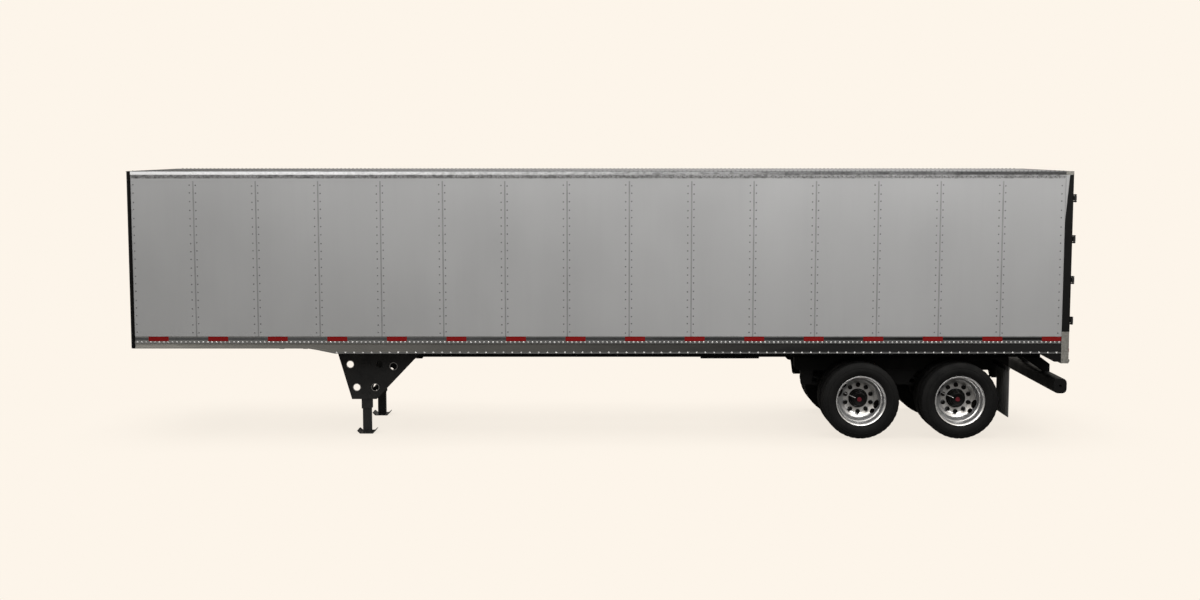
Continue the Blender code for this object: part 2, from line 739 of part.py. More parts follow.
def coupler(name):
    """Bearing plate of the upper coupler with its cross ribs, bored for the kingpin."""
    start = NOSE + NOSE_RADIUS + FIT_GAP
    end = NOSE + NOSE_DEPTH + COUPLER_LENGTH
    reach = SIDE - RAIL_FLANGE - FIT_GAP
    plate_top = NOSE_RAIL_BOTTOM + COUPLER_PLATE
    plate = box(name, (start, -reach, NOSE_RAIL_BOTTOM), (end, reach, plate_top))
    kingpin_x = NOSE + KINGPIN_SETBACK
    shorter = min(kingpin_x - start, end - kingpin_x)
    ribs_reach = shorter - COUPLER_EDGE
    pitch = 2 * ribs_reach / (COUPLER_RIBS - 1)
    rib_low = (kingpin_x - ribs_reach - COUPLER_RIB_WIDTH / 2, -reach, plate_top - SINK)
    rib_high = (rib_low[0] + COUPLER_RIB_WIDTH, reach, CROSS_TOP - FIT_GAP)
    ribs = repeat(box("rib", rib_low, rib_high), COUPLER_RIBS, (pitch, 0.0, 0.0))
    bore = rod(
        "bore",
        (kingpin_x, 0.0, NOSE_RAIL_BOTTOM - OVERRUN),
        (kingpin_x, 0.0, plate_top + OVERRUN),
        KINGPIN_RADIUS + FIT_GAP,
        sides=KINGPIN_STEPS,
    )
    return cut(weld(plate, ribs), bore)


def kingpin(name):
    """Kingpin: a flange on the coupler plate, an upper collar, a neck and a lower collar."""
    top = NOSE_RAIL_BOTTOM + COUPLER_PLATE + FIT_GAP
    collar = NOSE_RAIL_BOTTOM - KINGPIN_COLLAR
    neck = NOSE_RAIL_BOTTOM - KINGPIN_DROP + KINGPIN_FOOT
    bottom = NOSE_RAIL_BOTTOM - KINGPIN_DROP
    profile = [
        (0, top + KINGPIN_FLANGE),
        (KINGPIN_FLANGE_RADIUS, top + KINGPIN_FLANGE),
        (KINGPIN_FLANGE_RADIUS, top),
        (KINGPIN_RADIUS, top),
        (KINGPIN_RADIUS, collar),
        (KINGPIN_NECK, collar),
        (KINGPIN_NECK, neck),
        (KINGPIN_RADIUS, neck),
        (KINGPIN_RADIUS, bottom),
        (0, bottom),
    ]
    place = Matrix.Translation((NOSE + KINGPIN_SETBACK, 0.0, 0.0))
    return turned(name, profile, place, KINGPIN_STEPS)


def nose_box(name):
    """Shallow box on the nose with two air couplings and an electric socket."""
    bottom = WALL_BOTTOM + NOSE_BOX_RISE
    top = bottom + NOSE_BOX_HEIGHT
    back = NOSE + SINK - FIT_GAP
    face = back - NOSE_BOX_DEPTH
    half = NOSE_BOX_WIDTH / 2
    made = box(name, (face, -half, bottom), (back, half, top))
    middle = (bottom + top) / 2
    couplings = []
    for y in (-COUPLING_PITCH, 0.0, COUPLING_PITCH):
        start = (face + SINK, y, middle)
        end = (face - GLADHAND_REACH, y, middle)
        couplings.append(rod("coupling", start, end, GLADHAND_RADIUS, sides=GLADHAND_SIDES))
    return weld(made, *couplings)


def rear_frame(name):
    """Rear posts and header with the frame's halves of the hinges and the keepers."""
    top = BODY_HEIGHT
    bottom = CORNER_TOP + FIT_GAP
    outline = [
        (-SIDE, bottom),
        (-SIDE, top),
        (SIDE, top),
        (SIDE, bottom),
        (POST_INSIDE, bottom),
        (POST_INSIDE, HEADER_BOTTOM),
        (-POST_INSIDE, HEADER_BOTTOM),
        (-POST_INSIDE, bottom),
    ]
    frame = prism(name, "X", outline, REAR_FRAME_START, REAR)
    lugs = []
    for side_name, side in SIDES:
        for z in hinge_heights():
            knuckle = HINGE_HEIGHT / 2
            for end in (-1, 1):
                low, high = ordered(
                    z + end * (knuckle + HINGE_PLAY),
                    z + end * (knuckle + HINGE_PLAY + HINGE_LUG),
                )
                lugs.append(hinge_lug(f"lug_{side_name}", side, low, high))
            reach = knuckle + HINGE_PLAY + HINGE_LUG / 2
            start = (PIN_X, side * PIN_Y, z - reach)
            end = (PIN_X, side * PIN_Y, z + reach)
            lugs.append(rod("pin", start, end, PIN_RADIUS, sides=PIN_SIDES))
        lugs.append(keeper("keeper_top", side, HEADER_BOTTOM + ROD_END / 2, 1))
    return weld(frame, *lugs)


def hinge_heights():
    """Middle heights of a door's hinges."""
    first = DOOR_BOTTOM + HINGE_INSET
    pitch = (DOOR_HEIGHT - 2 * HINGE_INSET) / (HINGES - 1)
    return [first + i * pitch for i in range(HINGES)]


def hinge_lug(name, side, low, high):
    """Lug from the post's rear face to the pin."""
    outline = arc(PIN_X, PIN_Y, KNUCKLE_RADIUS, -90, 90, 2)
    outline += [(REAR - SINK, SIDE), (REAR - SINK, PIN_Y - KNUCKLE_RADIUS)]
    outline = [(u, side * v) for u, v in outline]
    return prism(name, "Z", outline, low, high)


def keeper(name, side, z, up):
    """A fork, open to the rear, that the lock rod's cam closes into."""
    y = side * (PIN_Y - ROD_FROM_PIN)
    inner = CAM_WIDTH / 2 + KEEPER_PLAY
    outer = inner + KEEPER_PLATE
    tip = ROD_X + ROD_RADIUS
    web = REAR + KEEPER_PLATE
    outline = [
        (REAR - SINK, y - outer),
        (tip, y - outer),
        (tip, y - inner),
        (web, y - inner),
        (web, y + inner),
        (tip, y + inner),
        (tip, y + outer),
        (REAR - SINK, y + outer),
    ]
    low, high = ordered(z, z + up * KEEPER_HEIGHT)
    return prism(name, "Z", outline, low, high)


def rear_sill(name):
    """Galvanised sill under the doors: a channel open to the front, with corner blocks."""
    back = REAR_FRAME_START
    outline = [
        (back, SILL_TOP),
        (REAR, SILL_TOP),
        (REAR, SILL_BOTTOM),
        (back, SILL_BOTTOM),
        (back, SILL_BOTTOM + SILL_PLATE),
        (REAR - SILL_PLATE, SILL_BOTTOM + SILL_PLATE),
        (REAR - SILL_PLATE, SILL_TOP - FLOOR_THICKNESS),
        (back, SILL_TOP - FLOOR_THICKNESS),
    ]
    inner = POST_INSIDE + SINK
    channel = prism(name, "Y", outline, -inner, inner)
    face = REAR - SINK / 2
    foot = REAR + CORNER_BULGE - CORNER_ROUND
    bulge = arc(foot, SILL_BOTTOM + CORNER_ROUND, CORNER_ROUND, -90, 90, 6)
    parts = []
    for side_name, side in SIDES:
        wide = (POST_INSIDE, SIDE)
        parts.append(
            side_box(f"corner_{side_name}", side, (back, face), wide, (SILL_BOTTOM, CORNER_TOP))
        )
        low, high = ordered(side * (inner + SINK), side * (SIDE - SINK / 2))
        parts.append(prism(f"bulge_{side_name}", "Y", bulge, low, high))
        parts.append(keeper("keeper_bottom", side, SILL_TOP - ROD_END / 2, -1))
    return weld(channel, *parts)


def door(name, side):
    """Door panel with an edge frame and its hinge straps, bored for the pins."""
    inner_y = DOOR_MEETING / 2
    outer_y = POST_INSIDE - DOOR_CLEARANCE
    heights = (DOOR_BOTTOM, DOOR_TOP)
    panel = side_box(name, side, (DOOR_BACK, DOOR_FACE), (inner_y, outer_y), heights)
    recess = side_box(
        "recess",
        side,
        (DOOR_FACE - DOOR_RECESS, DOOR_FACE + OVERRUN),
        (inner_y + DOOR_EDGE, outer_y - DOOR_EDGE),
        (DOOR_BOTTOM + DOOR_EDGE, DOOR_TOP - DOOR_EDGE),
    )
    panel = cut(panel, recess)
    straps = [strap("strap", side, z) for z in hinge_heights()]
    return weld(panel, *straps)


def strap(name, side, z):
    """Hinge strap from its knuckle to the door's face."""
    outer = PIN_X - PIN_RADIUS
    inner = outer - STRAP_THICKNESS
    seat = POST_INSIDE - DOOR_CLEARANCE - SINK
    sunk = DOOR_FACE - 2 * SINK
    end = PIN_Y - STRAP_LENGTH
    outline = arc(PIN_X, PIN_Y, KNUCKLE_RADIUS, -60, 165, 5)
    outline += [
        (inner, PIN_Y),
        (inner, seat),
        (sunk, seat),
        (sunk, end),
        (outer, end),
        (outer, PIN_Y - KNUCKLE_RADIUS),
    ]
    hole = ring_points(PIN_X, PIN_Y, PIN_RADIUS + PIN_CLEARANCE, PIN_SIDES)
    outline = [(u, side * v) for u, v in outline]
    hole = [(u, side * v) for u, v in hole]
    half = HINGE_HEIGHT / 2
    return prism(name, "Z", outline, z - half, z + half, holes=[hole])


def lock_rod(name, side):
    """Upright lock rod with its guides, end cams and handle."""
    y = side * (PIN_Y - ROD_FROM_PIN)
    low = DOOR_BOTTOM - ROD_END
    high = DOOR_TOP + ROD_END
    bar = rod(name, (ROD_X, y, low), (ROD_X, y, high), ROD_RADIUS, sides=PIN_SIDES)
    seat = DOOR_FACE - DOOR_RECESS + FIT_GAP
    crown = ROD_X + ROD_RADIUS + GUIDE_PLATE / 2
    half = GUIDE_WIDTH / 2
    guide = [
        (seat, y - half),
        (seat + GUIDE_PLATE, y - half),
        (crown, y - ROD_RADIUS),
        (crown, y + ROD_RADIUS),
        (seat + GUIDE_PLATE, y + half),
        (seat, y + half),
    ]
    middle = (DOOR_BOTTOM + DOOR_TOP) / 2
    parts = []
    for hinge_z in hinge_heights():
        inward = GUIDE_FROM_HINGE if hinge_z < middle else -GUIDE_FROM_HINGE
        z = hinge_z + inward - GUIDE_HEIGHT / 2
        parts.append(prism("guide", "Z", guide, z, z + GUIDE_HEIGHT))
    end = ROD_RADIUS / 3
    cam = CAM_WIDTH / 2
    for z in (low + end, high - CAM_HEIGHT - end):
        cam_low = (ROD_X - ROD_RADIUS + CAM_SET, y - cam, z)
        cam_high = (ROD_X + ROD_RADIUS / 2, y + cam, z + CAM_HEIGHT)
        parts.append(box("cam", cam_low, cam_high))
    grip = FLOOR_TOP + HANDLE_RISE
    start = (ROD_X, y, grip)
    end = (ROD_X, y + side * HANDLE_LENGTH, grip)
    parts.append(rod("handle", start, end, HANDLE_RADIUS, sides=PIN_SIDES))
    return weld(bar, *parts)


def tail_lamps(name, side):
    """Three round lamps on one plate behind the sill."""
    z = (SILL_TOP + SILL_BOTTOM) / 2
    first = SIDE - LAMP_INSET
    last = first - (LAMPS - 1) * LAMP_PITCH
    edge = LAMP_RADIUS + LAMP_PLATE
    seat = REAR + FIT_GAP
    made = side_box(
        name, side, (seat, seat + LAMP_PLATE), (last - edge, first + edge), (z - edge, z + edge)
    )
    lamps = []
    for i in range(LAMPS):
        y = side * (first - i * LAMP_PITCH)
        start = (seat + LAMP_PLATE / 2, y, z)
        end = (seat + LAMP_DEPTH, y, z)
        lamps.append(rod("lamp", start, end, LAMP_RADIUS, sides=LAMP_SIDES))
    return weld(made, *lamps)


def underride_guard(name):
    """Round-edged bar across the rear, hung from the long rails by two posts."""
    reach = SIDE - GUARD_SHORTER
    front = GUARD_FACE - GUARD_DEPTH
    r = GUARD_ROUND
    outline = arc(GUARD_FACE - r, GUARD_BOTTOM + r, r, -90, 0, 3)
    outline += arc(GUARD_FACE - r, GUARD_TOP - r, r, 0, 90, 3)
    outline += arc(front + r, GUARD_TOP - r, r, 90, 180, 3)
    outline += arc(front + r, GUARD_BOTTOM + r, r, 180, 270, 3)
    bar = prism(name, "Y", outline, -reach, reach)
    head = CHASSIS_BOTTOM - FIT_GAP
    rail_end = REAR - CHASSIS_SHORTER
    back = GUARD_FACE - GUARD_POST_SET
    post = [
        (front + r, GUARD_TOP - SINK),
        (back, GUARD_TOP - 2 * SINK),
        (back, GUARD_TOP + GUARD_POST_NECK),
        (rail_end, head),
        (rail_end - GUARD_POST_HEAD, head),
    ]
    posts = []
    bolts = []
    middle = ((front + GUARD_FACE) / 2, (GUARD_BOTTOM + GUARD_TOP) / 2)
    for side_name, side in SIDES:
        low, high = ordered(
            side * (CHASSIS_Y - GUARD_POST / 2), side * (CHASSIS_Y + GUARD_POST / 2)
        )
        posts.append(prism(f"post_{side_name}", "Y", post, low, high))
        start = (middle[0], side * (reach - GUARD_BOLT_DEPTH), middle[1])
        end = (middle[0], side * (reach + OVERRUN), middle[1])
        bolts.append(rod("bolt_hole", start, end, GUARD_BOLT_RADIUS, sides=GLADHAND_SIDES))
    return cut(weld(bar, *posts), *bolts)


def mud_flap(name, side):
    """Rubber flap behind the rear wheels, hung on the bogie's arm."""
    return side_box(
        name,
        side,
        (FLAP_X, FLAP_X + FLAP_THICKNESS),
        (INNER_TYRE_SIDE + FLAP_INSET, SIDE - SHEET_SET),
        (FLAP_BOTTOM, ARM_TOP - FLAP_ARM + FLAP_LAP),
    )


def chassis_frame(name):
    """Two long channel rails with a cross box at the front and tubes ahead of the air tank."""
    start = NOSE + CHASSIS_START
    end = REAR - CHASSIS_SHORTER
    rails = []
    for side_name, side in SIDES:
        section = [
            (CHASSIS_Y, CHASSIS_TOP),
            (CHASSIS_Y + CHASSIS_PLATE, CHASSIS_TOP),
            (CHASSIS_Y + CHASSIS_PLATE, CHASSIS_BOTTOM),
            (CHASSIS_Y - CHASSIS_FLANGE, CHASSIS_BOTTOM),
            (CHASSIS_Y - CHASSIS_FLANGE, CHASSIS_BOTTOM + CHASSIS_PLATE),
            (CHASSIS_Y, CHASSIS_BOTTOM + CHASSIS_PLATE),
        ]
        section = [(side * y, z) for y, z in section]
        rails.append(prism(name, "X", section, start, end))
    reach = CHASSIS_Y + CHASSIS_PLATE / 2
    z = CHASSIS_BOTTOM + CHASSIS_DEPTH / 2
    first = start + CHASSIS_DEPTH
    last = NOSE + TANK_FROM_NOSE - TANK_LENGTH / 2 - CHASSIS_DEPTH
    brace = rod("brace", (first, -reach, z), (first, reach, z), BRACE_RADIUS, sides=PIN_SIDES)
    braces = repeat(brace, BRACES, ((last - first) / (BRACES - 1), 0.0, 0.0))
    half = LEG_SPREAD / 2
    header_low = (start - SINK, -half, CHASSIS_BOTTOM + CHASSIS_PLATE / 2)
    header_high = (start + CHASSIS_FLANGE, half, CHASSIS_TOP - CHASSIS_PLATE / 2)
    return weld(rails[0], rails[1], braces, box("header", header_low, header_high))


def bogie_frame(name):
    """Frame of the tandem: box rails, cross boxes, spring hangers, torque and flap arms."""
    start = HANGERS[0][0] - HANGER_LENGTH / 2 - BOGIE_OVERHANG
    end = HANGERS[-1][0] + HANGER_LENGTH / 2 + BOGIE_OVERHANG
    r = BOGIE_ROUND
    outline = arc(start + r, BOGIE_BOTTOM + r, r, 180, 270, 3)
    outline += arc(end - r, BOGIE_BOTTOM + r, r, 270, 360, 3)
    outline += [(end, BOGIE_TOP), (start, BOGIE_TOP)]
    parts = []
    for side_name, side in SIDES:
        low, high = ordered(
            side * (SPRING_Y - BOGIE_WIDTH / 2), side * (SPRING_Y + BOGIE_WIDTH / 2)
        )
        rail_name = name if side == LEFT else f"rail_{side_name}"
        parts.append(prism(rail_name, "Y", outline, low, high))
        for x, spread, foot, axle_x in HANGERS:
            parts += hanger(side, x, spread, foot, axle_x)
        arm_x = (FLAP_X - FLAP_ARM - FIT_GAP, FLAP_X - FIT_GAP)
        arm_y = (SPRING_Y, SIDE - SHEET_SET)
        arm_z = (ARM_TOP - FLAP_ARM, ARM_TOP)
        parts.append(side_box(f"arm_{side_name}", side, arm_x, arm_y, arm_z))
    for x, *_ in HANGERS:
        low = (x - BOGIE_CROSS / 2, -SPRING_Y, BOGIE_BOTTOM + SINK)
        high = (x + BOGIE_CROSS / 2, SPRING_Y, BOGIE_TOP - SINK)
        parts.append(box("cross_box", low, high))
    return weld(parts[0], *parts[1:])


def hanger(side, x, spread, foot, axle_x):
    """A spring hanger slotted for the spring, with its pin and torque arm."""
    top = BOGIE_BOTTOM + 2 * SINK
    half = HANGER_LENGTH / 2
    bottom = SPRING_TIP - foot
    outline = [
        (x - half - spread, top),
        (x + half + spread, top),
        (x + half - HANGER_TAPER, bottom),
        (x - half + HANGER_TAPER, bottom),
    ]
    low, high = ordered(
        side * (SPRING_Y - HANGER_WIDTH / 2), side * (SPRING_Y + HANGER_WIDTH / 2)
    )
    seat = SPRING_TIP + FIT_GAP + (SPRING_LEAF if spread else 0.0)
    along = (x - half - spread - OVERRUN, x + half + spread + OVERRUN)
    inner = HANGER_WIDTH / 2 - HANGER_WALL
    slot = side_box("slot", side, along, (SPRING_Y - inner, SPRING_Y + inner),
                    (bottom - OVERRUN, seat))
    made = [cut(prism("hanger", "Y", outline, low, high), slot)]
    pin_z = bottom + HANGER_PIN_RISE
    if axle_x is not None:
        reach = HANGER_WIDTH / 2 - HANGER_WALL / 2
        start = (x, side * (SPRING_Y - reach), pin_z)
        end = (x, side * (SPRING_Y + reach), pin_z)
        made.append(rod("pin", start, end, HANGER_PIN_RADIUS, sides=PIN_SIDES))
        seat_x = axle_x - SEAT_LENGTH / 2 - FIT_GAP
        arm = TORQUE_ARM / 2
        outline = [
            (x - SINK, pin_z - arm),
            (seat_x, AXLE_Z + TORQUE_ARM_RISE - arm),
            (seat_x, AXLE_Z + TORQUE_ARM_RISE + arm),
            (x - SINK, pin_z + arm),
        ]
        low, high = ordered(side * (SPRING_Y - arm), side * (SPRING_Y + arm))
        made.append(prism("torque_arm", "Y", outline, low, high))
    return made


def spring_outline(x):
    """Side view of a leaf spring: curved main leaf with shorter leaves under it."""
    top = []
    bottom = []
    for i in range(SPRING_STEPS + 1):
        share = -1 + 2 * i / SPRING_STEPS
        z = SPRING_BASE + SPRING_THICKNESS + SPRING_SAG * share * share
        leaves = 1 + (SPRING_LEAVES - 1) * (1 - abs(share))
        top.append((x + share * SPRING_HALF, z))
        bottom.append((x + share * SPRING_HALF, z - SPRING_LEAF * leaves))
    return top + bottom[::-1]


def springs(name, side):
    """Front and rear leaf springs of one side, joined by the equalizer between them."""
    low, high = ordered(
        side * (SPRING_Y - SPRING_WIDTH / 2), side * (SPRING_Y + SPRING_WIDTH / 2)
    )
    parts = [prism(name, "Y", spring_outline(x), low, high) for _, x in AXLES]
    tip = SPRING_TIP - SPRING_LEAF / 2
    reach = AXLE_SPREAD / 2 - SPRING_HALF + EQUALIZER_LAP
    outline = [
        (TANDEM_X - reach, tip),
        (TANDEM_X - reach, tip - SPRING_LEAF),
        (TANDEM_X, tip - EQUALIZER_DROP),
        (TANDEM_X + reach, tip - SPRING_LEAF),
        (TANDEM_X + reach, tip),
        (TANDEM_X, SPRING_TIP + SPRING_LEAF),
    ]
    parts.append(prism("equalizer", "Y", outline, low, high))
    return weld(parts[0], *parts[1:])


def axle(name, x):
    """Axle tube with its spindles, spring seats and brake chambers."""
    face = wheel_y(0) - DRUM_WIDTH - DISC_PLATE - DRUM_CLEARANCE
    tube = rod(name, (x, -face, AXLE_Z), (x, face, AXLE_Z), AXLE_RADIUS)
    parts = []
    for side_name, side in SIDES:
        start = (x, side * (face - SINK), AXLE_Z)
        end = (x, side * wheel_y(-SPINDLE_END), AXLE_Z)
        parts.append(rod("spindle", start, end, SPINDLE_RADIUS))
        seat = (x - SEAT_LENGTH / 2, x + SEAT_LENGTH / 2)
        wide = (SPRING_Y - SEAT_WIDTH / 2, SPRING_Y + SEAT_WIDTH / 2)
        high = (AXLE_Z, SPRING_BASE - FIT_GAP)
        parts.append(side_box(f"seat_{side_name}", side, seat, wide, high))
        y = side * (SPRING_Y - SEAT_WIDTH / 2 - CHAMBER_FROM_SEAT)
        start = (x + AXLE_RADIUS / 2, y, AXLE_Z)
        end = (x + AXLE_RADIUS + CHAMBER_LENGTH, y, AXLE_Z)
        parts.append(rod("chamber", start, end, CHAMBER_RADIUS, sides=CHAMBER_SIDES))
    return weld(tube, *parts)


def wheel_y(outboard):
    """Distance from the centre line of a point this far outboard of the twin wheels' middle."""
    return TRACK / 2 + outboard


def wheel_place(side, x):
    """Middle of a pair of twin wheels, with Z pointing outboard."""
    turn = Matrix.Rotation(-side * math.pi / 2, 4, "X")
    return Matrix.Translation((x, side * wheel_y(0), AXLE_Z)) @ turn


def tyre(name, place, middle):
    """Tyre on its rim, its section filled between the beads."""
    bead = RIM_WIDTH / 2 - FIT_GAP
    wide = TYRE_WIDTH / 2
    half = [
        (BEAD_RADIUS + FIT_GAP, bead),
        (RIM_FLANGE_RADIUS + FIT_GAP, bead),
        (BEAD_RADIUS + TYRE_BELLY, wide),
        (TYRE_RADIUS - TYRE_SHOULDER, wide - SHOULDER_SET),
        (TYRE_RADIUS, TREAD_WIDTH / 2),
    ]
    profile = [(r, middle + out) for r, out in half]
    profile += [(r, middle - out) for r, out in half[::-1]]
    return turned(name, profile, place)


def rim_profile(sign):
    """Outer face of the rim, from the disc's side to the far flange."""
    middle = sign * DUAL_SPACING / 2
    half = sign * RIM_WIDTH / 2
    flange = sign * RIM_FLANGE
    barrel = BEAD_RADIUS - RIM_PLATE
    return [
        (RIM_FLANGE_RADIUS, middle - half - flange),
        (RIM_FLANGE_RADIUS, middle - half),
        (BEAD_RADIUS, middle - half),
        (BEAD_RADIUS, middle + half),
        (RIM_FLANGE_RADIUS, middle + half),
        (RIM_FLANGE_RADIUS, middle + half + flange),
        (barrel, middle + half),
        (barrel, middle - half + sign * DISC_PLATE),
    ]


def wheel_outer(name, place):
    """Dished outer wheel with its hand holes and the hub cap."""
    face = FIT_GAP
    profile = [(0, face), (DISC_FLAT_RADIUS, face)]
    profile += rim_profile(1)
    profile += [
        (DISC_FLAT_RADIUS, DISC_PLATE),
        (HUB_CAP_RADIUS, DISC_PLATE),
        (HUB_CAP_RADIUS, HUB_CAP_STEP),
        (HUB_CAP_NECK, HUB_CAP_STEP),
        (HUB_CAP_NECK, HUB_CAP_REACH - HUB_CAP_ROUND),
        (HUB_CAP_NECK - HUB_CAP_ROUND, HUB_CAP_REACH),
        (0, HUB_CAP_REACH),
    ]
    made = turned(name, profile[::-1], place)
    knee = DUAL_SPACING / 2 - RIM_WIDTH / 2 - RIM_FLANGE
    radius = (DISC_FLAT_RADIUS + BEAD_RADIUS - RIM_PLATE) / 2
    holes = []
    for i in range(HAND_HOLES):
        turn = Matrix.Rotation((i + 0.5) * 2 * math.pi / HAND_HOLES, 4, "Z")
        start = place @ turn @ Vector((radius, 0.0, -OVERRUN))
        end = place @ turn @ Vector((radius, 0.0, knee + DISC_PLATE + OVERRUN))
        holes.append(rod("hand_hole", start, end, HAND_HOLE_RADIUS, sides=HAND_HOLE_SIDES))
    return cut(made, *holes)


def wheel_inner(name, place):
    """Inner wheel on the brake drum, bored for the spindle."""
    back = -(DISC_PLATE + DRUM_WIDTH)
    bore = SPINDLE_RADIUS + SPINDLE_PLAY
    profile = [(0, -FIT_GAP), (DISC_FLAT_RADIUS, -FIT_GAP)]
    profile += rim_profile(-1)
    profile += [
        (DRUM_RADIUS, -DISC_PLATE * 2),
        (DRUM_RADIUS, back),
        (bore, back),
        (bore, -DISC_PLATE),
        (0, -DISC_PLATE),
    ]
    return turned(name, profile, place)


def air_tank(name):
    """Reservoir hung under the cross members by two straps."""
    x = NOSE + TANK_FROM_NOSE
    z = CROSS_BOTTOM - FIT_GAP - TANK_STRAP - TANK_RADIUS
    half = TANK_LENGTH / 2
    tank = rod(name, (x - half, 0.0, z), (x + half, 0.0, z), TANK_RADIUS, sides=16)
    straps = []
    for place in (x - half / 2, x + half / 2):
        low = (place - TANK_STRAP / 2, -TANK_RADIUS / 2, z)
        high = (place + TANK_STRAP / 2, TANK_RADIUS / 2, CROSS_BOTTOM - FIT_GAP)
        straps.append(box("strap", low, high))
    return weld(tank, *straps)


def landing_leg(name, side):
    """Outer leg box with its holed wing plate and the raised V on the plate."""
    middle = LEG_SPREAD / 2
    half = LEG_SIZE / 2
    across = (middle - half, middle + half)
    leg = side_box(name, side, (LEG_X - half, LEG_X + half), across, (LEG_BOTTOM, LEG_TOP))
    height = LEG_TOP - WING_BOTTOM
    outline = [
        (LEG_X - WING_TOP_FRONT, LEG_TOP),
        (LEG_X - WING_FOOT_FRONT, WING_BOTTOM),
        (LEG_X + WING_FOOT_REAR, WING_BOTTOM),
        (LEG_X + WING_TOP_REAR, LEG_TOP),
    ]
    holes = []
    for along_share, up_share in WING_HOLE_SHARES:
        x = LEG_X + along_share * WING_TOP_REAR
        z = WING_BOTTOM + up_share * height
        holes.append(ring_points(x, z, WING_HOLE_RADIUS, WING_HOLE_SIDES))
    low, high = ordered(side * (LEG_FACE - WING_PLATE / 2), side * (LEG_FACE + WING_PLATE))
    wing = prism("wing", "Y", outline, low, high, holes=holes)
    line = [
        (LEG_X + along * WING_TOP_REAR, WING_BOTTOM + up * height) for along, up in CREASE_SHARES
    ]
    crease = [(x, z + CREASE_WIDTH / 2) for x, z in line]
    crease += [(x, z - CREASE_WIDTH / 2) for x, z in line[::-1]]
    face = LEG_FACE + WING_PLATE
    low, high = ordered(side * (face - WING_PLATE / 2), side * (face + CREASE_RISE))
    leg = weld(leg, wing, prism("crease", "Y", crease, low, high))
    inner = INNER_LEG_SIZE / 2 + FIT_GAP
    bore_top = LEG_BOTTOM + INNER_LEG_UP + FIT_GAP
    bore = side_box(
        "bore",
        side,
        (LEG_X - inner, LEG_X + inner),
        (middle - inner, middle + inner),
        (LEG_BOTTOM - OVERRUN, bore_top),
    )
    return cut(leg, bore)


def landing_foot(name, side):
    """Inner leg with its sand shoe on the ground."""
    middle = LEG_SPREAD / 2
    half = INNER_LEG_SIZE / 2
    leg = side_box(
        name,
        side,
        (LEG_X - half, LEG_X + half),
        (middle - half, middle + half),
        (SHOE_PLATE / 2, LEG_BOTTOM + INNER_LEG_UP),
    )
    long = SHOE_LENGTH / 2
    turn_up = SHOE_RISE
    outline = [
        (LEG_X - long + turn_up, 0.0),
        (LEG_X + long - turn_up, 0.0),
        (LEG_X + long, turn_up),
        (LEG_X + long - SHOE_PLATE, turn_up),
        (LEG_X + long - turn_up - SHOE_PLATE / 2, SHOE_PLATE),
        (LEG_X - long + turn_up + SHOE_PLATE / 2, SHOE_PLATE),
        (LEG_X - long + SHOE_PLATE, turn_up),
        (LEG_X - long, turn_up),
    ]
    wide = SHOE_WIDTH / 2
    low, high = ordered(side * (middle - wide), side * (middle + wide))
    return weld(leg, prism("shoe", "Y", outline, low, high))


def landing_shaft(name):
    """Cross shaft that drives the left leg from the right one."""
    inner = LEG_SPREAD / 2 - LEG_SIZE / 2 - FIT_GAP
    return rod(name, (LEG_X, -inner, SHAFT_HEIGHT), (LEG_X, inner, SHAFT_HEIGHT), SHAFT_RADIUS)


def landing_stays(name):
    """Cross bar and crossed stays between the legs, with two raking stays to the chassis."""
    reach = LEG_SPREAD / 2 - LEG_SIZE / 2 - FIT_GAP
    half = STAY_WIDTH / 2
    front = LEG_X + STAY_BEHIND
    back = front + 2 * STAY_PLATE
    bar_low = (front, -reach, STAY_LOW - half - SINK)
    bar_high = (back, reach, STAY_LOW + half + SINK)
    bar = box(name, bar_low, bar_high)
    rail_x = NOSE + CHASSIS_START - SINK - FIT_GAP
    parts = []
    for side_name, side in SIDES:
        crossed = [
            (side * (SINK - reach), STAY_LOW - half),
            (side * reach, STAY_HIGH - half),
            (side * reach, STAY_HIGH + half),
            (side * (SINK - reach), STAY_LOW + half),
        ]
        low = front + SINK / 2 if side == LEFT else front + STAY_PLATE
        high = low + STAY_PLATE
        parts.append(prism(f"crossed_{side_name}", "X", crossed, low, high))
        raking = [
            (front + SINK, STAY_LOW - half),
            (rail_x, CHASSIS_BOTTOM + CHASSIS_PLATE),
            (rail_x, CHASSIS_BOTTOM + CHASSIS_PLATE + STAY_WIDTH),
            (front + SINK, STAY_LOW + half),
        ]
        low, high = ordered(side * (reach - STAY_WIDTH), side * (reach - 2 * SINK))
        parts.append(prism(f"raking_{side_name}", "Y", raking, low, high))
    return weld(bar, *parts)


def crank(name):
    """Gearbox and folded crank on the outside of the right leg."""
    face = LEG_FACE + WING_PLATE + CREASE_RISE + FIT_GAP
    half = GEARBOX_SIZE / 2
    low = (LEG_X - half, face, SHAFT_HEIGHT - half)
    high = (LEG_X + half, face + GEARBOX_DEPTH, SHAFT_HEIGHT + half)
    case = box(name, low, high)
    start = face + GEARBOX_DEPTH
    bend = start + CRANK_GRIP / 2
    arm_y = bend - CRANK_RADIUS
    foot = SHAFT_HEIGHT - CRANK_THROW
    hub = rod("hub", (LEG_X, start - SINK, SHAFT_HEIGHT), (LEG_X, bend, SHAFT_HEIGHT), CRANK_RADIUS)
    arm_top = (LEG_X, arm_y, SHAFT_HEIGHT + CRANK_RADIUS)
    arm_foot = (LEG_X, arm_y, foot - CRANK_RADIUS)
    arm = rod("arm", arm_top, arm_foot, CRANK_RADIUS, sides=PIN_SIDES)
    grip_start = (LEG_X, arm_y - CRANK_RADIUS / 2, foot)
    grip = rod("grip", grip_start, (LEG_X, bend + CRANK_GRIP, foot), CRANK_RADIUS)
    return weld(case, hub, arm, grip)


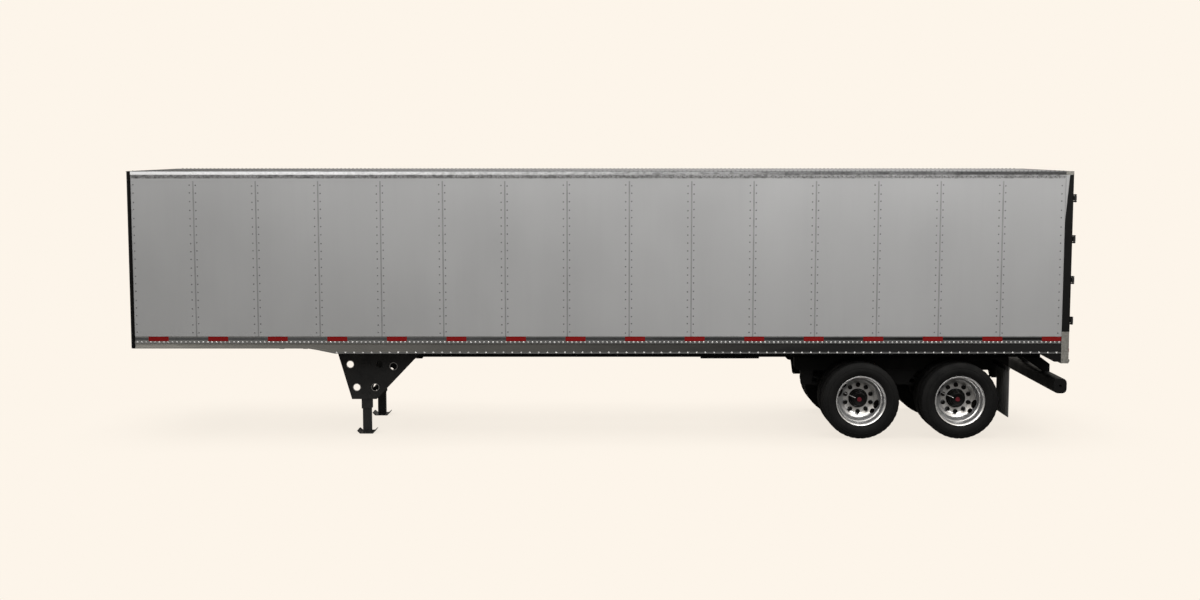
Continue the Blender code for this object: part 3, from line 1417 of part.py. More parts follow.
# Node families: (name, maker, takes a side, finish)
STRUCTURE = [
    ("side_wall", side_wall, True, "aluminium"),
    ("front_wall", front_wall, False, "aluminium"),
    ("front_frame", front_frame, False, "black_steel"),
    ("roof", roof, False, "aluminium"),
    ("top_rail", top_rail, True, "rail_aluminium"),
    ("underframe", underframe, False, "rail_aluminium"),
    ("floor", floor, False, "wood"),
    ("coupler", coupler, False, "black_steel"),
    ("kingpin", kingpin, False, "bare_steel"),
    ("nose_box", nose_box, False, "aluminium"),
    ("chassis_frame", chassis_frame, False, "black_steel"),
    ("bogie_frame", bogie_frame, False, "black_steel"),
    ("rear_frame", rear_frame, False, "black_steel"),
    ("rear_sill", rear_sill, False, "galvanised"),
    ("tail_lamps", tail_lamps, True, "red_lens"),
    ("underride_guard", underride_guard, False, "black_steel"),
    ("mud_flap", mud_flap, True, "rubber"),
    ("springs", springs, True, "black_steel"),
    ("air_tank", air_tank, False, "black_steel"),
    ("landing_leg", landing_leg, True, "black_steel"),
    ("landing_foot", landing_foot, True, "black_steel"),
    ("landing_shaft", landing_shaft, False, "black_steel"),
    ("landing_stays", landing_stays, False, "black_steel"),
    ("crank", crank, False, "black_steel"),
    ("door", door, True, "aluminium"),
    ("lock_rod", lock_rod, True, "bare_steel"),
]

# Finishes: name, colour, roughness, metallic
FINISHES = [
    ("aluminium", (0.36, 0.36, 0.37), 0.45, 0.8),
    ("rail_aluminium", (0.30, 0.30, 0.31), 0.35, 0.8),
    ("black_steel", (0.012, 0.012, 0.013), 0.55, 0.0),
    ("bare_steel", (0.30, 0.30, 0.30), 0.40, 1.0),
    ("galvanised", (0.28, 0.29, 0.30), 0.50, 0.7),
    ("wood", (0.30, 0.18, 0.09), 0.65, 0.0),
    ("rubber", (0.015, 0.015, 0.016), 0.80, 0.0),
    ("wheel_metal", (0.60, 0.61, 0.63), 0.18, 1.0),
    ("cast_iron", (0.05, 0.045, 0.04), 0.70, 0.4),
    ("red_lens", (0.35, 0.01, 0.01), 0.20, 0.0),
]


def settle(made, finish_made, parts, origin=(0.0, 0.0, 0.0)):
    """Give a piece its finish, its collection and its origin."""
    made.data.materials.append(finish_made)
    made.data.transform(Matrix.Translation(origin).inverted())
    made.matrix_world = Matrix.Translation(origin)
    for old in list(made.users_collection):
        old.objects.unlink(made)
    parts.objects.link(made)
    made.data.shade_smooth()
    made.data.set_sharp_from_angle(angle=math.radians(30))


def main():
    clear_scene()
    parts = collection(OBJECT_NAME)
    finishes = {name: finish(name, *look) for name, *look in FINISHES}
    for name, maker, sided, look in STRUCTURE:
        if not sided:
            settle(maker(name), finishes[look], parts)
            continue
        for side_name, side in SIDES:
            origin = (0.0, 0.0, 0.0)
            if name in ("door", "lock_rod"):
                origin = (PIN_X, side * PIN_Y, DOOR_BOTTOM)
            settle(maker(f"{name}_{side_name}", side), finishes[look], parts, origin)
    spacing = DUAL_SPACING / 2
    for axle_name, x in AXLES:
        settle(axle(f"axle_{axle_name}", x), finishes["cast_iron"], parts)
        for side_name, side in SIDES:
            corner = f"{axle_name}_{side_name}"
            place = wheel_place(side, x)
            centre = (x, side * wheel_y(0), AXLE_Z)
            pieces = [
                (tyre(f"tyre_outer_{corner}", place, spacing), "rubber"),
                (tyre(f"tyre_inner_{corner}", place, -spacing), "rubber"),
                (wheel_outer(f"wheel_outer_{corner}", place), "wheel_metal"),
                (wheel_inner(f"wheel_inner_{corner}", place), "cast_iron"),
            ]
            for made, look in pieces:
                settle(made, finishes[look], parts, centre)


main()
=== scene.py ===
import json
import math
import random

import bpy
import numpy as np
from mathutils import Matrix, Vector


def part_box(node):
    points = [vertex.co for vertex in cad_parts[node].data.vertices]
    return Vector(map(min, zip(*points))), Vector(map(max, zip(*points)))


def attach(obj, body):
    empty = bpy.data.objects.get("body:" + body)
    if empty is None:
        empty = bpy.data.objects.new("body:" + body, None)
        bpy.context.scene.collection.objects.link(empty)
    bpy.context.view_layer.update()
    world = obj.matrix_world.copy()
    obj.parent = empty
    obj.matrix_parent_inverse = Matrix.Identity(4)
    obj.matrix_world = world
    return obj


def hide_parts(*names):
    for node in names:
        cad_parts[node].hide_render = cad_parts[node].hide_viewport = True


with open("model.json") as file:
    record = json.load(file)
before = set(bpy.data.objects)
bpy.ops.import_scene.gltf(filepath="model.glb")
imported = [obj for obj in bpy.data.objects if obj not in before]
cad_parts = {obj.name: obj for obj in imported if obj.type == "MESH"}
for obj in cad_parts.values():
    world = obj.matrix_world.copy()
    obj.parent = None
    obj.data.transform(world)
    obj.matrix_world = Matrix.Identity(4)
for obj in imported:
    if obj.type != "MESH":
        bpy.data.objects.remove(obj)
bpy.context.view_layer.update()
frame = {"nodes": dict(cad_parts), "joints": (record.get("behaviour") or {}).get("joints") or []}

SIDES = [("left", -1), ("right", 1)]
AXLES = ["front", "rear"]
SEED = 7

# Camera: the photograph looks at the vehicle's left side from a little over the roof
CAMERA_PLACE = (0.005, -21.09, 3.8)
CAMERA_DOWN = 5.66  # degrees below the horizon
CAMERA_LENS = 46.2  # millimetres
SENSOR_WIDTH = 36.0  # millimetres
CLIP_END = 1000.0
BACKGROUND = (0.982, 0.913, 0.823)
WHITE = 1.0

# Lights: name, place, point that it faces, width, height, watts
LIGHTS = [
    ("strip_left", (-4.2, -4.6, 6.6), (-4.2, -1.2, 2.6), 7.6, 2.6, 238.0),
    ("strip_right", (3.6, -4.6, 6.6), (3.6, -1.2, 2.6), 7.6, 2.6, 245.0),
    ("key", (9.0, -17.0, 10.0), (2.0, -1.2, 2.0), 7.0, 5.0, 1120.0),
    ("far_strip", (0.0, 5.4, 6.6), (0.0, 1.2, 2.6), 13.0, 1.2, 420.0),
    ("rear", (15.0, 3.0, 7.0), (6.0, 0.0, 2.0), 6.0, 5.0, 520.0),
    ("nose", (-15.0, 2.0, 7.0), (-6.0, 0.0, 2.0), 6.0, 5.0, 500.0),
]
SKY_LIGHT = (0.3, 0.62)  # diffuse light from the horizon and from overhead
SKY_SEEN = (0.25, 1.8)  # the same in reflections
SKY_TOP = 0.8  # from this far up reflections are at their brightest
FLOOR_BOUNCE = (0.34, 0.33, 0.31)
FLOOR_SEEN = 0.12  # strength of the floor's background in reflections
SHADOW_REACH = 1.6
SHADOW = (0.2, 0.84)  # open sky at a floor point, and the floor's strength there
OPEN_SKY = 0.98  # from this much open sky the floor has no shadow
FLOOR_REACH = 400.0

# Finishes
NOISE_BAND = (0.3, 0.7)  # where most of a noise's values lie
DUST = (1.5, 1.47, 1.4)  # tone of dusty black against clean black, by colour
LENS_DEPTH = 0.45  # tone of a lens between its ribs

# Turned shapes: steps round them, and the edge angle in degrees that stays sharp
AXIS = 0.0001  # radius where a turned shape closes
WHEEL_STEPS = 120
TYRE_STEPS = 160
HUB_STEPS = 48
BAND_STEPS = 32
RING_STEPS = 24
NUT_STEPS = 12
RIVET_SIDES = 8
TUBE_SIDES = 8
BOLT_SIDES = 6
SMOOTH = 40.0
WHEEL_SMOOTH = 35.0
RIM_SMOOTH = 30.0

# Heads and nuts: (share of the radius, share of the rise)
DOME_SHARES = [(1.0, 0.0), (0.82, 0.6), (0.42, 0.93), (0.02, 1.0)]
WASHER_SHARES = [(1.35, 0.0), (1.35, 0.2)]
HEAD_SHARES = [(1.0, 0.2), (1.0, 0.9), (0.85, 1.0)]
NUT_SHARES = [(1.15, 0.0), (1.15, 0.14), (1.0, 0.24), (0.92, 0.86), (0.6, 1.0)]

# Side sheets and their fasteners
PANELS = 15
SEAM_WIDTH = 0.018
SEAM_PROUD = 0.0008
RIVET_RADIUS = 0.0095
RIVET_RISE = 0.004
SEAM_ROWS = (-0.048, 0.03)  # rivet rows beside a seam
SEAM_RIVET_PITCH = 0.105
RIVET_WANDER = 0.01  # a hand-set rivet's drift along its row
RAIL_RIVET_PITCH = 0.057
RIDGE_RIVET_RADIUS = 0.0135

# Top rail: a folded roof edge over a stained face, and a flange on the sheets
ROOF_FOLD = 0.04
TOP_FLANGE = 0.034
TRIM_PROUD = 0.0012
ROOF_BUMP_INSET = 0.02
ROOF_BUMP_RADIUS = 0.0105
ROOF_BUMP_RISE = 0.008

# Bottom rail, from the sheet down: tape groove, ridge, face and lip
GROOVE_SET = 0.01  # groove's face inside the rail's outer face
GROOVE_HEIGHT = 0.062
GROOVE_EDGE = 0.014  # bare metal over and under the groove's dark band of painted shade
RIDGE_HEIGHT = 0.03
RAIL_LIP = 0.022
BAND_PROUD = 0.0003
CHANNEL_DEPTH = 0.03

# Reflective tape in the rail's groove
TAPE_LENGTH = 0.26
TAPE_PITCH = 0.7745
TAPE_FIRST = -5.735  # middle of the first piece
TAPE_COUNT = 16
TAPE_PROUD = 0.0007

# Tyre and rim
DUAL_SPACING = 0.343
TYRE_RADIUS = 0.5007
TYRE_WIDTH = 0.278
TREAD_WIDTH = 0.204
BEAD_RADIUS = 0.3115
BEAD_PLAY = 0.002
BEAD_HEEL = 0.012
CROWN_DROP = 0.003
CROWN_CURVE = 0.4  # fall of the tread, per metre
RIB_SHARES = (0.3, 0.1, -0.1, -0.3)
RIB_GROOVE = 0.009
RIB_DEPTH = 0.012
SHOULDER_CUT = 0.004
SHOULDER_EVERY = 4  # one cut in the shoulder to this many steps
RIM_WIDTH = 0.209
FLANGE_RADIUS = 0.328
RIM_FLANGE = 0.013
RIM_BORE = 0.3005
RIM_ROLL = 0.006
DISC_FACE = 0.022  # bolt face outboard of the twin tyres' middle
LUG_CIRCLE = 0.176
LUGS = 10
LUG_RADIUS = 0.0265
LUG_LENGTH = 0.044
HAND_HOLE_CIRCLE = 0.25
HOLE_DEPTH = 0.115
VALVE_TURN = 158.0  # degrees
VALVE_RADIUS = 0.004

# Hand holes: (degrees, half length round the wheel, half width outward)
HAND_HOLES = [(-18, 0.06, 0.029), (-42, 0.036, 0.024), (162, 0.06, 0.029), (138, 0.036, 0.024)]

# Tyre side: (out from the rim's flange, in from the widest place)
TYRE_SIDE = [
    (0.008, 0.0225), (0.02, 0.0175), (0.032, 0.01), (0.05, 0.0035), (0.068, 0.0),
    (0.086, 0.001), (0.104, 0.005), (0.106, 0.0025), (0.112, 0.0035), (0.114, 0.008),
    (0.132, 0.013), (0.15, 0.02), (0.162, 0.026), (0.171, 0.031),
]

# Dish of the outer wheel: (radius, out from the bolt face)
DISH = [
    (0.1, 0.0), (0.19, 0.0), (0.201, 0.003), (0.215, 0.011), (0.23, 0.0195),
    (0.245, 0.028), (0.257, 0.037), (0.266, 0.05), (0.273, 0.068), (0.278, 0.09),
    (0.281, 0.116), (0.281, 0.134), (0.286, 0.139), (0.286, 0.152), (0.291, 0.157),
    (0.291, 0.176),
]

# Back of its disc, the oil cap, its plug and the inflation tube, measured in the same way
DISH_BACK = [
    (0.298, 0.078), (0.276, 0.046), (0.256, 0.018), (0.23, -0.002), (0.205, -0.0165),
    (0.19, -0.0215), (0.1, -0.0215),
]
HUB_CAP = [
    (0.127, -0.002), (0.127, 0.014), (0.122, 0.02), (0.113, 0.023), (0.11, 0.052),
    (0.104, 0.06), (0.092, 0.064), (0.09, 0.112), (0.086, 0.121), (0.076, 0.126),
    (0.07, 0.123), (AXIS, 0.123),
]
HUB_PLUG = [(0.03, 0.121), (0.03, 0.129), (0.026, 0.133), (AXIS, 0.133)]
VALVE = [(0.055, 0.127), (0.095, 0.122), (0.14, 0.092), (0.185, 0.066), (0.215, 0.056)]

# Rings and screws: (radius, height)
COLLAR = [(0.036, 0.0), (0.036, 0.01), (0.033, 0.014), (0.0325, 0.014), (0.0325, 0.0)]
LAMP_COLLAR = [(0.062, 0.0), (0.062, 0.008), (0.058, 0.011), (0.0555, 0.01), (0.0555, 0.0)]
CHAMBER_BAND = [(0.0745, -0.008), (0.08, -0.007), (0.08, 0.007), (0.0745, 0.008)]
HOLE_RIM = [(0.0455, -0.003), (0.0545, -0.001), (0.0535, 0.003), (0.0465, 0.003)]
TANK_BAND = [(0.117, -0.006), (0.1215, -0.006), (0.1215, 0.006), (0.117, 0.006)]
SCREW = [(0.006, 0.0), (0.006, 0.0008), (AXIS, 0.0006)]

# Details of the frame that pieces follow
NOSE_PANELS = 4
NOSE_RAIL_LENGTH = 2.56
CROSS_PITCH = 0.305
COUPLING_REACH = 0.026
COUPLING_PITCH = 0.126
EDGE_INSET = 0.02
REAR_FRAME_DEPTH = 0.1
HALF_OPENING = 1.123
DOOR_SET = 0.004
DOOR_EDGE = 0.05
DOOR_ROW_INSET = 0.03
HINGES = 4
HINGE_INSET = 0.23
STRAP_SET = 0.001  # straps are what stands this far out of a door's face
PIN_X = 6.131
PIN_Y = 1.217
PIN_RADIUS = 0.008
PIN_HEAD_RADIUS = 0.012
PIN_REACH = 0.051  # from a hinge's middle to its pin's end
STRAP_BOLTS = (0.13, 0.2, 0.27)
POST_COVER = 0.052  # width at the roof of the bare wedge on a rear post
POST_COVER_DROP = 0.62
CAP_REACH = 0.09
CAP_HEIGHT = 0.046
CAP_BEVEL = 0.001
GUSSET_AT_RAIL = 0.29
GUSSET_AT_SILL = 0.085
LAMP_PLATE = 0.006
LAMP_PITCH = 0.135
SILL_FIRST = 0.1
SILL_LAST = 1.08
SILL_PITCH = 0.24
AXLE_RADIUS = 0.0635
SPRING_THICKNESS = 0.042
CHAMBER_IN = 0.1475  # chamber's middle inboard of the spring's
CHAMBER_BANDS = (0.075, 0.14, 0.204)
TANK_RADIUS = 0.12
TANK_BAND_INSET = 0.11
GEARBOX_DEPTH = 0.07
GEARBOX_SIZE = 0.15
CREASE_RISE = 0.004
LEG_BOLTS = [
    (-0.045, 0.05), (0.045, 0.05), (-0.045, 0.25), (0.045, 0.25), (-0.045, 0.64), (0.045, 0.64),
    (-0.3, 0.05), (0.3, 0.05), (0.6, 0.05),
]
WING_HOLES = [(-0.2085, 0.9263), (0.3678, 0.8984), (-0.1251, 0.618), (0.1209, 0.618)]
SHOE_PIN = 0.085
SHOE_PIN_RISE = 0.05
FLAP_EDGE = 0.03
FLAP_RIB_PITCH = 0.09
FLAP_RIB_RISE = 0.002
FLAP_STRIP = 0.03

# Bolts, and fittings that the photograph leaves hidden
BOLT_RADIUS = 0.011
BOLT_RISE = 0.009
STRAP_BOLT_RADIUS = 0.0088
STRAP_BOLT_RISE = 0.0054
DOOR_RIVET_RADIUS = 0.0076
DOOR_RIVET_RISE = 0.0028
MARKER_LENGTH = 0.1
MARKER_HEIGHT = 0.034
MARKER_DEPTH = 0.012
MARKER_PITCH = 0.205
MARKER_CORNER = 1.06
MARKER_BEVEL = 0.003
LINING_PLATE = 0.005
LINING_BOARDS = 5
LINING_GAP = 0.004
SCUFF_HEIGHT = 0.3
GASKET_WIDTH = 0.014
GASKET_PROUD = 0.002
PLANKS = 8
SCREW_SHARES = (0.25, 0.75)  # of a plank's width
UBOLT_RADIUS = 0.009
UBOLT_NUT = 0.0144
UBOLT_TAIL = 0.036  # below the axle
UBOLT_PLATE = 0.012
UBOLT_REACH = 0.078  # from the axle's middle along the trailer
UBOLT_HALF = 0.056  # from the spring's middle across the trailer

# Places read from the frame
WALL_LOW, WALL_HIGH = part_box("side_wall_left")
FRONT_LOW, FRONT_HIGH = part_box("front_wall")
ROOF_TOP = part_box("roof")[1].z
RAIL_LOW, RAIL_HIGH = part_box("underframe")
TOP_LOW, TOP_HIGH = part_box("top_rail_left")
REAR_LOW, REAR_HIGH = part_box("rear_frame")
SILL_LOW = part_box("rear_sill")[0]
FLOOR_LOW, FLOOR_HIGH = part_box("floor")
SHEET_Y = -WALL_LOW.y
INSIDE_Y = -WALL_HIGH.y
SIDE_Y = -TOP_LOW.y
PANEL_PITCH = (WALL_HIGH.x - WALL_LOW.x) / PANELS
GROOVE_TOP = RAIL_HIGH.z
GROOVE_BOTTOM = GROOVE_TOP - GROOVE_HEIGHT
REAR_FACE = REAR_LOW.x + REAR_FRAME_DEPTH
DOOR_FACE = REAR_FACE - DOOR_SET

# Corners (x, z) of the plates between the bottom rails and the rear sill
GUSSET = [
    (REAR_LOW.x - GUSSET_AT_RAIL, RAIL_LOW.z),
    (REAR_LOW.x - GUSSET_AT_SILL, SILL_LOW.z + EDGE_INSET),
    (REAR_LOW.x, SILL_LOW.z + EDGE_INSET),
    (REAR_LOW.x, RAIL_LOW.z),
]


# Materials

def add(tree, kind, inputs=None, **settings):
    """A shader node; each input is a value or another node's output."""
    made = tree.nodes.new(kind)
    for key, value in settings.items():
        setattr(made, key, value)
    for key, value in (inputs or {}).items():
        if isinstance(value, bpy.types.NodeSocket):
            tree.links.new(value, made.inputs[key])
        else:
            made.inputs[key].default_value = value
    return made


def coords(tree, kind="Object"):
    """Coordinates of one kind, by default the object's own metres."""
    return add(tree, "ShaderNodeTexCoord").outputs[kind]


def place_along(tree, axis, kind="Object"):
    """X, Y or Z of such coordinates."""
    split = add(tree, "ShaderNodeSeparateXYZ", {"Vector": coords(tree, kind)})
    return split.outputs[axis]


def grain(tree, scale, stretch=(1.0, 1.0, 1.0), detail=4.0):
    """Noise in the object's own metres, from 0 to 1."""
    spread = add(tree, "ShaderNodeMapping", {"Vector": coords(tree), "Scale": stretch})
    inputs = {"Vector": spread.outputs["Vector"], "Scale": scale, "Detail": detail}
    return add(tree, "ShaderNodeTexNoise", inputs).outputs["Fac"]


def ranged(tree, value, low, high, to_low=0.0, to_high=1.0):
    """A value carried from one range to another, and held at its ends."""
    inputs = {
        "Value": value, "From Min": low, "From Max": high, "To Min": to_low, "To Max": to_high,
    }
    return add(tree, "ShaderNodeMapRange", inputs).outputs["Result"]


def colour(value):
    """A grey or a colour as a node takes it; an output stays as it is."""
    if isinstance(value, float):
        value = (value, value, value)
    return (*value, 1.0) if isinstance(value, tuple) else value


def blended(tree, factor, first, second):
    """A mix of two colours, each a grey, a colour or another node's output."""
    inputs = {0: factor, 6: colour(first), 7: colour(second)}
    return add(tree, "ShaderNodeMix", inputs, data_type="RGBA").outputs[2]


def combined(tree, operation, first, second):
    return add(tree, "ShaderNodeMath", {0: first, 1: second}, operation=operation).outputs[0]


def wandering(tree, noise, reach):
    """The object's X, moved to and fro by noise."""
    return combined(
        tree, "ADD", place_along(tree, "X"), ranged(tree, noise, *NOISE_BAND, -reach, reach)
    )


def bumped(tree, shader, height, strength, distance, normal=None):
    inputs = {"Height": height, "Strength": strength, "Distance": distance}
    if normal is not None:
        inputs["Normal"] = normal
    bump = add(tree, "ShaderNodeBump", inputs)
    tree.links.new(bump.outputs["Normal"], shader.inputs["Normal"])
    return bump.outputs["Normal"]


def material(name, metallic=0.0, gloss=0.5):
    made = bpy.data.materials.new(name)
    made.use_nodes = True
    shader = made.node_tree.nodes["Principled BSDF"]
    shader.inputs["Metallic"].default_value = metallic
    shader.inputs["Specular IOR Level"].default_value = gloss
    return made, made.node_tree, shader


def finished(tree, shader, shade, drift, rough, band=NOISE_BAND):
    """Connect a colour, and a roughness that follows a drift over its band."""
    tree.links.new(shade, shader.inputs["Base Color"])
    tree.links.new(ranged(tree, drift, *band, *rough), shader.inputs["Roughness"])


def surface(name, light, dark, scale, rough, metallic=0.0, bump=0.1, depth=0.001,
            fine=6.0, gloss=0.5):
    """A finish whose colour and gloss drift between two shades, over a fine bump."""
    made, tree, shader = material(name, metallic, gloss)
    drift = grain(tree, scale)
    shade = blended(tree, ranged(tree, drift, *NOISE_BAND), dark, light)
    finished(tree, shader, shade, drift, rough[::-1])
    bumped(tree, shader, grain(tree, scale * fine), bump, depth)
    return made


def sheet_metal(name, strap_face=None):
    """Smooth grey sheet whose tone drifts; what stands past strap_face is black."""
    made, tree, shader = material(name, 0.25)
    drift = grain(tree, 0.8, (1.0, 1.0, 0.6), 3.0)
    shade = blended(tree, ranged(tree, drift, *NOISE_BAND), 0.32, 0.345)
    streaks = grain(tree, 12.0, (1.0, 1.0, 0.05), 5.0)
    shade = blended(tree, ranged(tree, streaks, 0.45, 0.8, 0.0, 0.12), shade, 0.28)
    if strap_face is not None:
        strap = combined(tree, "GREATER_THAN", place_along(tree, "X"), strap_face)
        shade = blended(tree, strap, shade, 0.008)
    finished(tree, shader, shade, drift, (0.42, 0.52))
    slow = bumped(tree, shader, grain(tree, 1.4, detail=1.0), 0.06, 0.02)
    bumped(tree, shader, grain(tree, 700.0, (0.1, 1.0, 1.0)), 0.04, 0.0005, slow)
    return made


def strip_metal(name, front, rear, blotch, amount, metallic=0.9, rough=(0.24, 0.38),
                gloss=0.5):
    """Extruded strip whose tone runs from the nose to the rear, with dark blotches; on the roof
    fold that run is a painted highlight, in the rail's groove it is painted shade.
    """
    made, tree, shader = material(name, metallic, gloss)
    along = wandering(tree, grain(tree, 1.5), 1.2)
    shade = blended(tree, ranged(tree, along, -3.5, 4.5), front, rear)
    specks = grain(tree, 34.0, (0.5, 1.0, 1.0))
    worse = ranged(tree, place_along(tree, "X"), -6.0, 6.0, *amount)
    spots = combined(tree, "MULTIPLY", ranged(tree, specks, 0.42, 0.66), worse)
    shade = blended(tree, spots, shade, blotch)
    finished(tree, shader, shade, specks, rough)
    bumped(tree, shader, grain(tree, 220.0, (0.05, 1.0, 1.0)), 0.12, 0.001)
    return made


def roof_metal():
    """Matt roof sheet, darker toward the nose as painted shade."""
    made, tree, shader = material("roof_aluminium", gloss=0.05)
    roof_noise = grain(tree, 1.2, (0.5, 1.0, 1.0), 3.0)
    along = wandering(tree, roof_noise, 1.0)
    # Darker toward the nose: painted shade.
    shade = blended(tree, ranged(tree, along, -4.5, 4.5), 0.045, 0.2)
    finished(tree, shader, shade, roof_noise, (0.55, 0.7))
    bumped(tree, shader, grain(tree, 1.4, detail=1.0), 0.06, 0.02)
    return made


def bottom_rail_metal():
    """Side rail that darkens to the rear as a painted reflection of dark ground, most of all its
    face, and is black inside.
    """
    made, tree, shader = material("bottom_rail_metal", 0.55)
    height = place_along(tree, "Z")
    over_lip = combined(tree, "GREATER_THAN", height, RAIL_LOW.z + RAIL_LIP)
    under = combined(tree, "LESS_THAN", height, GROOVE_BOTTOM - RIDGE_HEIGHT)
    face = combined(tree, "MULTIPLY", over_lip, under)
    # The rearward darkening of the face and ridge is a painted reflection of dark ground; this
    # noise only wanders its edge and sets roughness.
    dust = grain(tree, 3.0, (0.4, 1.0, 2.0))
    along = wandering(tree, dust, 0.8)
    rear = combined(tree, "POWER", ranged(tree, along, -5.5, 3.0), 0.5)
    ridge_tone = blended(tree, rear, (0.24, 0.24, 0.23), 0.1)
    face_tone = blended(tree, rear, (0.36, 0.35, 0.32), 0.009)
    outer = combined(tree, "ABSOLUTE", place_along(tree, "Y"), 0.0)
    inside = combined(tree, "LESS_THAN", outer, SIDE_Y - CHANNEL_DEPTH)
    shade = blended(tree, inside, blended(tree, face, ridge_tone, face_tone), 0.01)
    finished(tree, shader, shade, dust, (0.36, 0.52))
    bumped(tree, shader, grain(tree, 260.0, (0.05, 1.0, 1.0)), 0.1, 0.001)
    return made


def wood(name, light, dark, stretch, worn):
    """Boards with grain along them, scuffed in places."""
    made, tree, shader = material(name)
    lines = grain(tree, 24.0, stretch, 8.0)
    shade = blended(tree, ranged(tree, lines, *NOISE_BAND), dark, light)
    scuffs = grain(tree, 2.2, stretch, 1.0)
    shade = blended(tree, ranged(tree, scuffs, 0.4, 0.7, 0.0, 0.5), shade, worn)
    finished(tree, shader, shade, lines, (0.72, 0.54))
    bumped(tree, shader, lines, 0.3, 0.0015)
    return made


def galvanised():
    """Zinc coat with its spangle."""
    made, tree, shader = material("galvanised", 0.5)
    cells = add(tree, "ShaderNodeTexVoronoi", {"Vector": coords(tree), "Scale": 70.0})
    split = add(tree, "ShaderNodeSeparateColor", {"Color": cells.outputs["Color"]})
    tone = split.outputs[0]
    shade = blended(tree, tone, (0.185, 0.178, 0.16), (0.265, 0.258, 0.235))
    stains = grain(tree, 6.0, (1.0, 1.0, 0.4))
    shade = blended(tree, ranged(tree, stains, 0.5, 0.8, 0.0, 0.6), shade, (0.15, 0.14, 0.12))
    finished(tree, shader, shade, tone, (0.4, 0.58), (0.0, 1.0))
    bumped(tree, shader, stains, 0.1, 0.002)
    return made


def reflective_tape():
    """Red retroreflective tape, sealed in small diamond cells."""
    made, tree, shader = material("reflective_tape", gloss=0.08)
    inputs = {"Vector": coords(tree), "Rotation": (0.0, math.radians(45), 0.0)}
    turned = add(tree, "ShaderNodeMapping", inputs).outputs["Vector"]
    inputs = {"Vector": turned, "Scale": 160.0, "Randomness": 0.0}
    cells = add(tree, "ShaderNodeTexVoronoi", inputs, feature="DISTANCE_TO_EDGE")
    edge = ranged(tree, cells.outputs["Distance"], 0.02, 0.12)
    shade = blended(tree, edge, (0.15, 0.006, 0.006), (0.26, 0.009, 0.008))
    worn = grain(tree, 12.0)
    shade = blended(tree, ranged(tree, worn, 0.5, 0.8, 0.0, 0.3), shade, (0.16, 0.01, 0.009))
    finished(tree, shader, shade, worn, (0.34, 0.48))
    bumped(tree, shader, edge, 0.2, 0.0006)
    return made


def lens(name, tone):
    """Moulded lamp lens with fine ribs."""
    made, tree, shader = material(name)
    shader.inputs["Coat Weight"].default_value = 0.6
    shader.inputs["Coat Roughness"].default_value = 0.05
    inputs = {"Vector": coords(tree), "Scale": 60.0}
    ribs = add(tree, "ShaderNodeTexWave", inputs, bands_direction="Z").outputs["Fac"]
    shade = blended(tree, ribs, tuple(part * LENS_DEPTH for part in tone), tone)
    finished(tree, shader, shade, ribs, (0.12, 0.2), (0.0, 1.0))
    bumped(tree, shader, ribs, 0.3, 0.001)
    return made


def black(name, tone, gloss=0.12, rough=(0.45, 0.65)):
    """Black paint or rubber with a little dust."""
    dusty = tuple(tone * share for share in DUST)
    return surface(
        name, dusty, tone, 6.0, rough, bump=0.08, depth=0.0015, fine=20.0, gloss=gloss
    )


LOOKS = {
    "sheet": sheet_metal("sheet_aluminium"),
    "door": sheet_metal("door_aluminium", DOOR_FACE + STRAP_SET),
    "roof": roof_metal(),
    # The roof fold's tone, bright at the nose and fading to dark at the rear, is a painted
    # highlight.
    "fold": strip_metal("roof_fold_painted_highlight", 0.84, 0.068, 0.03, (0.08, 0.9), 0.2),
    "top_rail": strip_metal("top_rail_metal", 0.3, 0.34, 0.035, (0.8, 0.6), 0.4),
    # A near-black band in the rail's recessed groove, darker still toward the rear: painted shade.
    "groove": strip_metal(
        "groove_painted_shade", 0.07, 0.004, 0.006, (0.25, 0.35), 0.0, (0.5, 0.6), gloss=0.15
    ),
    "bottom_rail": bottom_rail_metal(),
    "black": black("black_paint", 0.003),
    "nose": black("nose_paint", 0.003, 0.06),
    "leg": black("landing_gear_paint", 0.017),
    "tyre": black("tyre_rubber", 0.0058, 0.08, (0.6, 0.78)),
    "flap": black("flap_rubber", 0.085, 0.2, (0.62, 0.8)),
    "seal": black("black_seal", 0.01, 0.2, (0.55, 0.75)),
    "hub": black("hub_black", 0.003, 0.08, (0.35, 0.5)),
    "wood": wood(
        "plank_wood", (0.38, 0.24, 0.13), (0.2, 0.11, 0.055), (0.06, 1.0, 1.0), (0.3, 0.24, 0.18)
    ),
    "lining": wood(
        "ply_lining", (0.58, 0.45, 0.31), (0.42, 0.3, 0.19), (1.0, 1.0, 0.08), (0.45, 0.37, 0.28)
    ),
    "galvanised": galvanised(),
    "tape": reflective_tape(),
    "red_lens": lens("red_lens", (0.42, 0.012, 0.01)),
    "seam": surface("seam_lap", 0.235, 0.19, 6.0, (0.5, 0.62), 0.25),
    # Rivet heads darker than the sheet round them: painted shade about each head.
    "rivet": surface("shade_darkened_rivet_heads", 0.15, 0.085, 30.0, (0.45, 0.6), 0.3),
    # Light rivets on the rail's dark ridge and lip: painted highlights.
    "highlight_painted_rivet": surface("highlight_painted_rivets", 0.6, 0.3, 25.0, (0.3, 0.45), 0.7),
    "steel": surface("zinc_steel", 0.5, 0.35, 12.0, (0.3, 0.44), 0.9),
    "alloy": surface(
        "polished_alloy", 0.68, 0.6, 7.0, (0.27, 0.35), 0.85, 0.03, 0.0006, fine=18.0
    ),
    "iron": surface(
        "drum_iron", (0.032, 0.027, 0.024), (0.016, 0.014, 0.013), 14.0, (0.7, 0.85),
        bump=0.4, depth=0.002, gloss=0.2,
    ),
    "plug": surface(
        "red_plug", (0.11, 0.006, 0.012), (0.085, 0.005, 0.01), 30.0, (0.5, 0.65), gloss=0.2
    ),
}

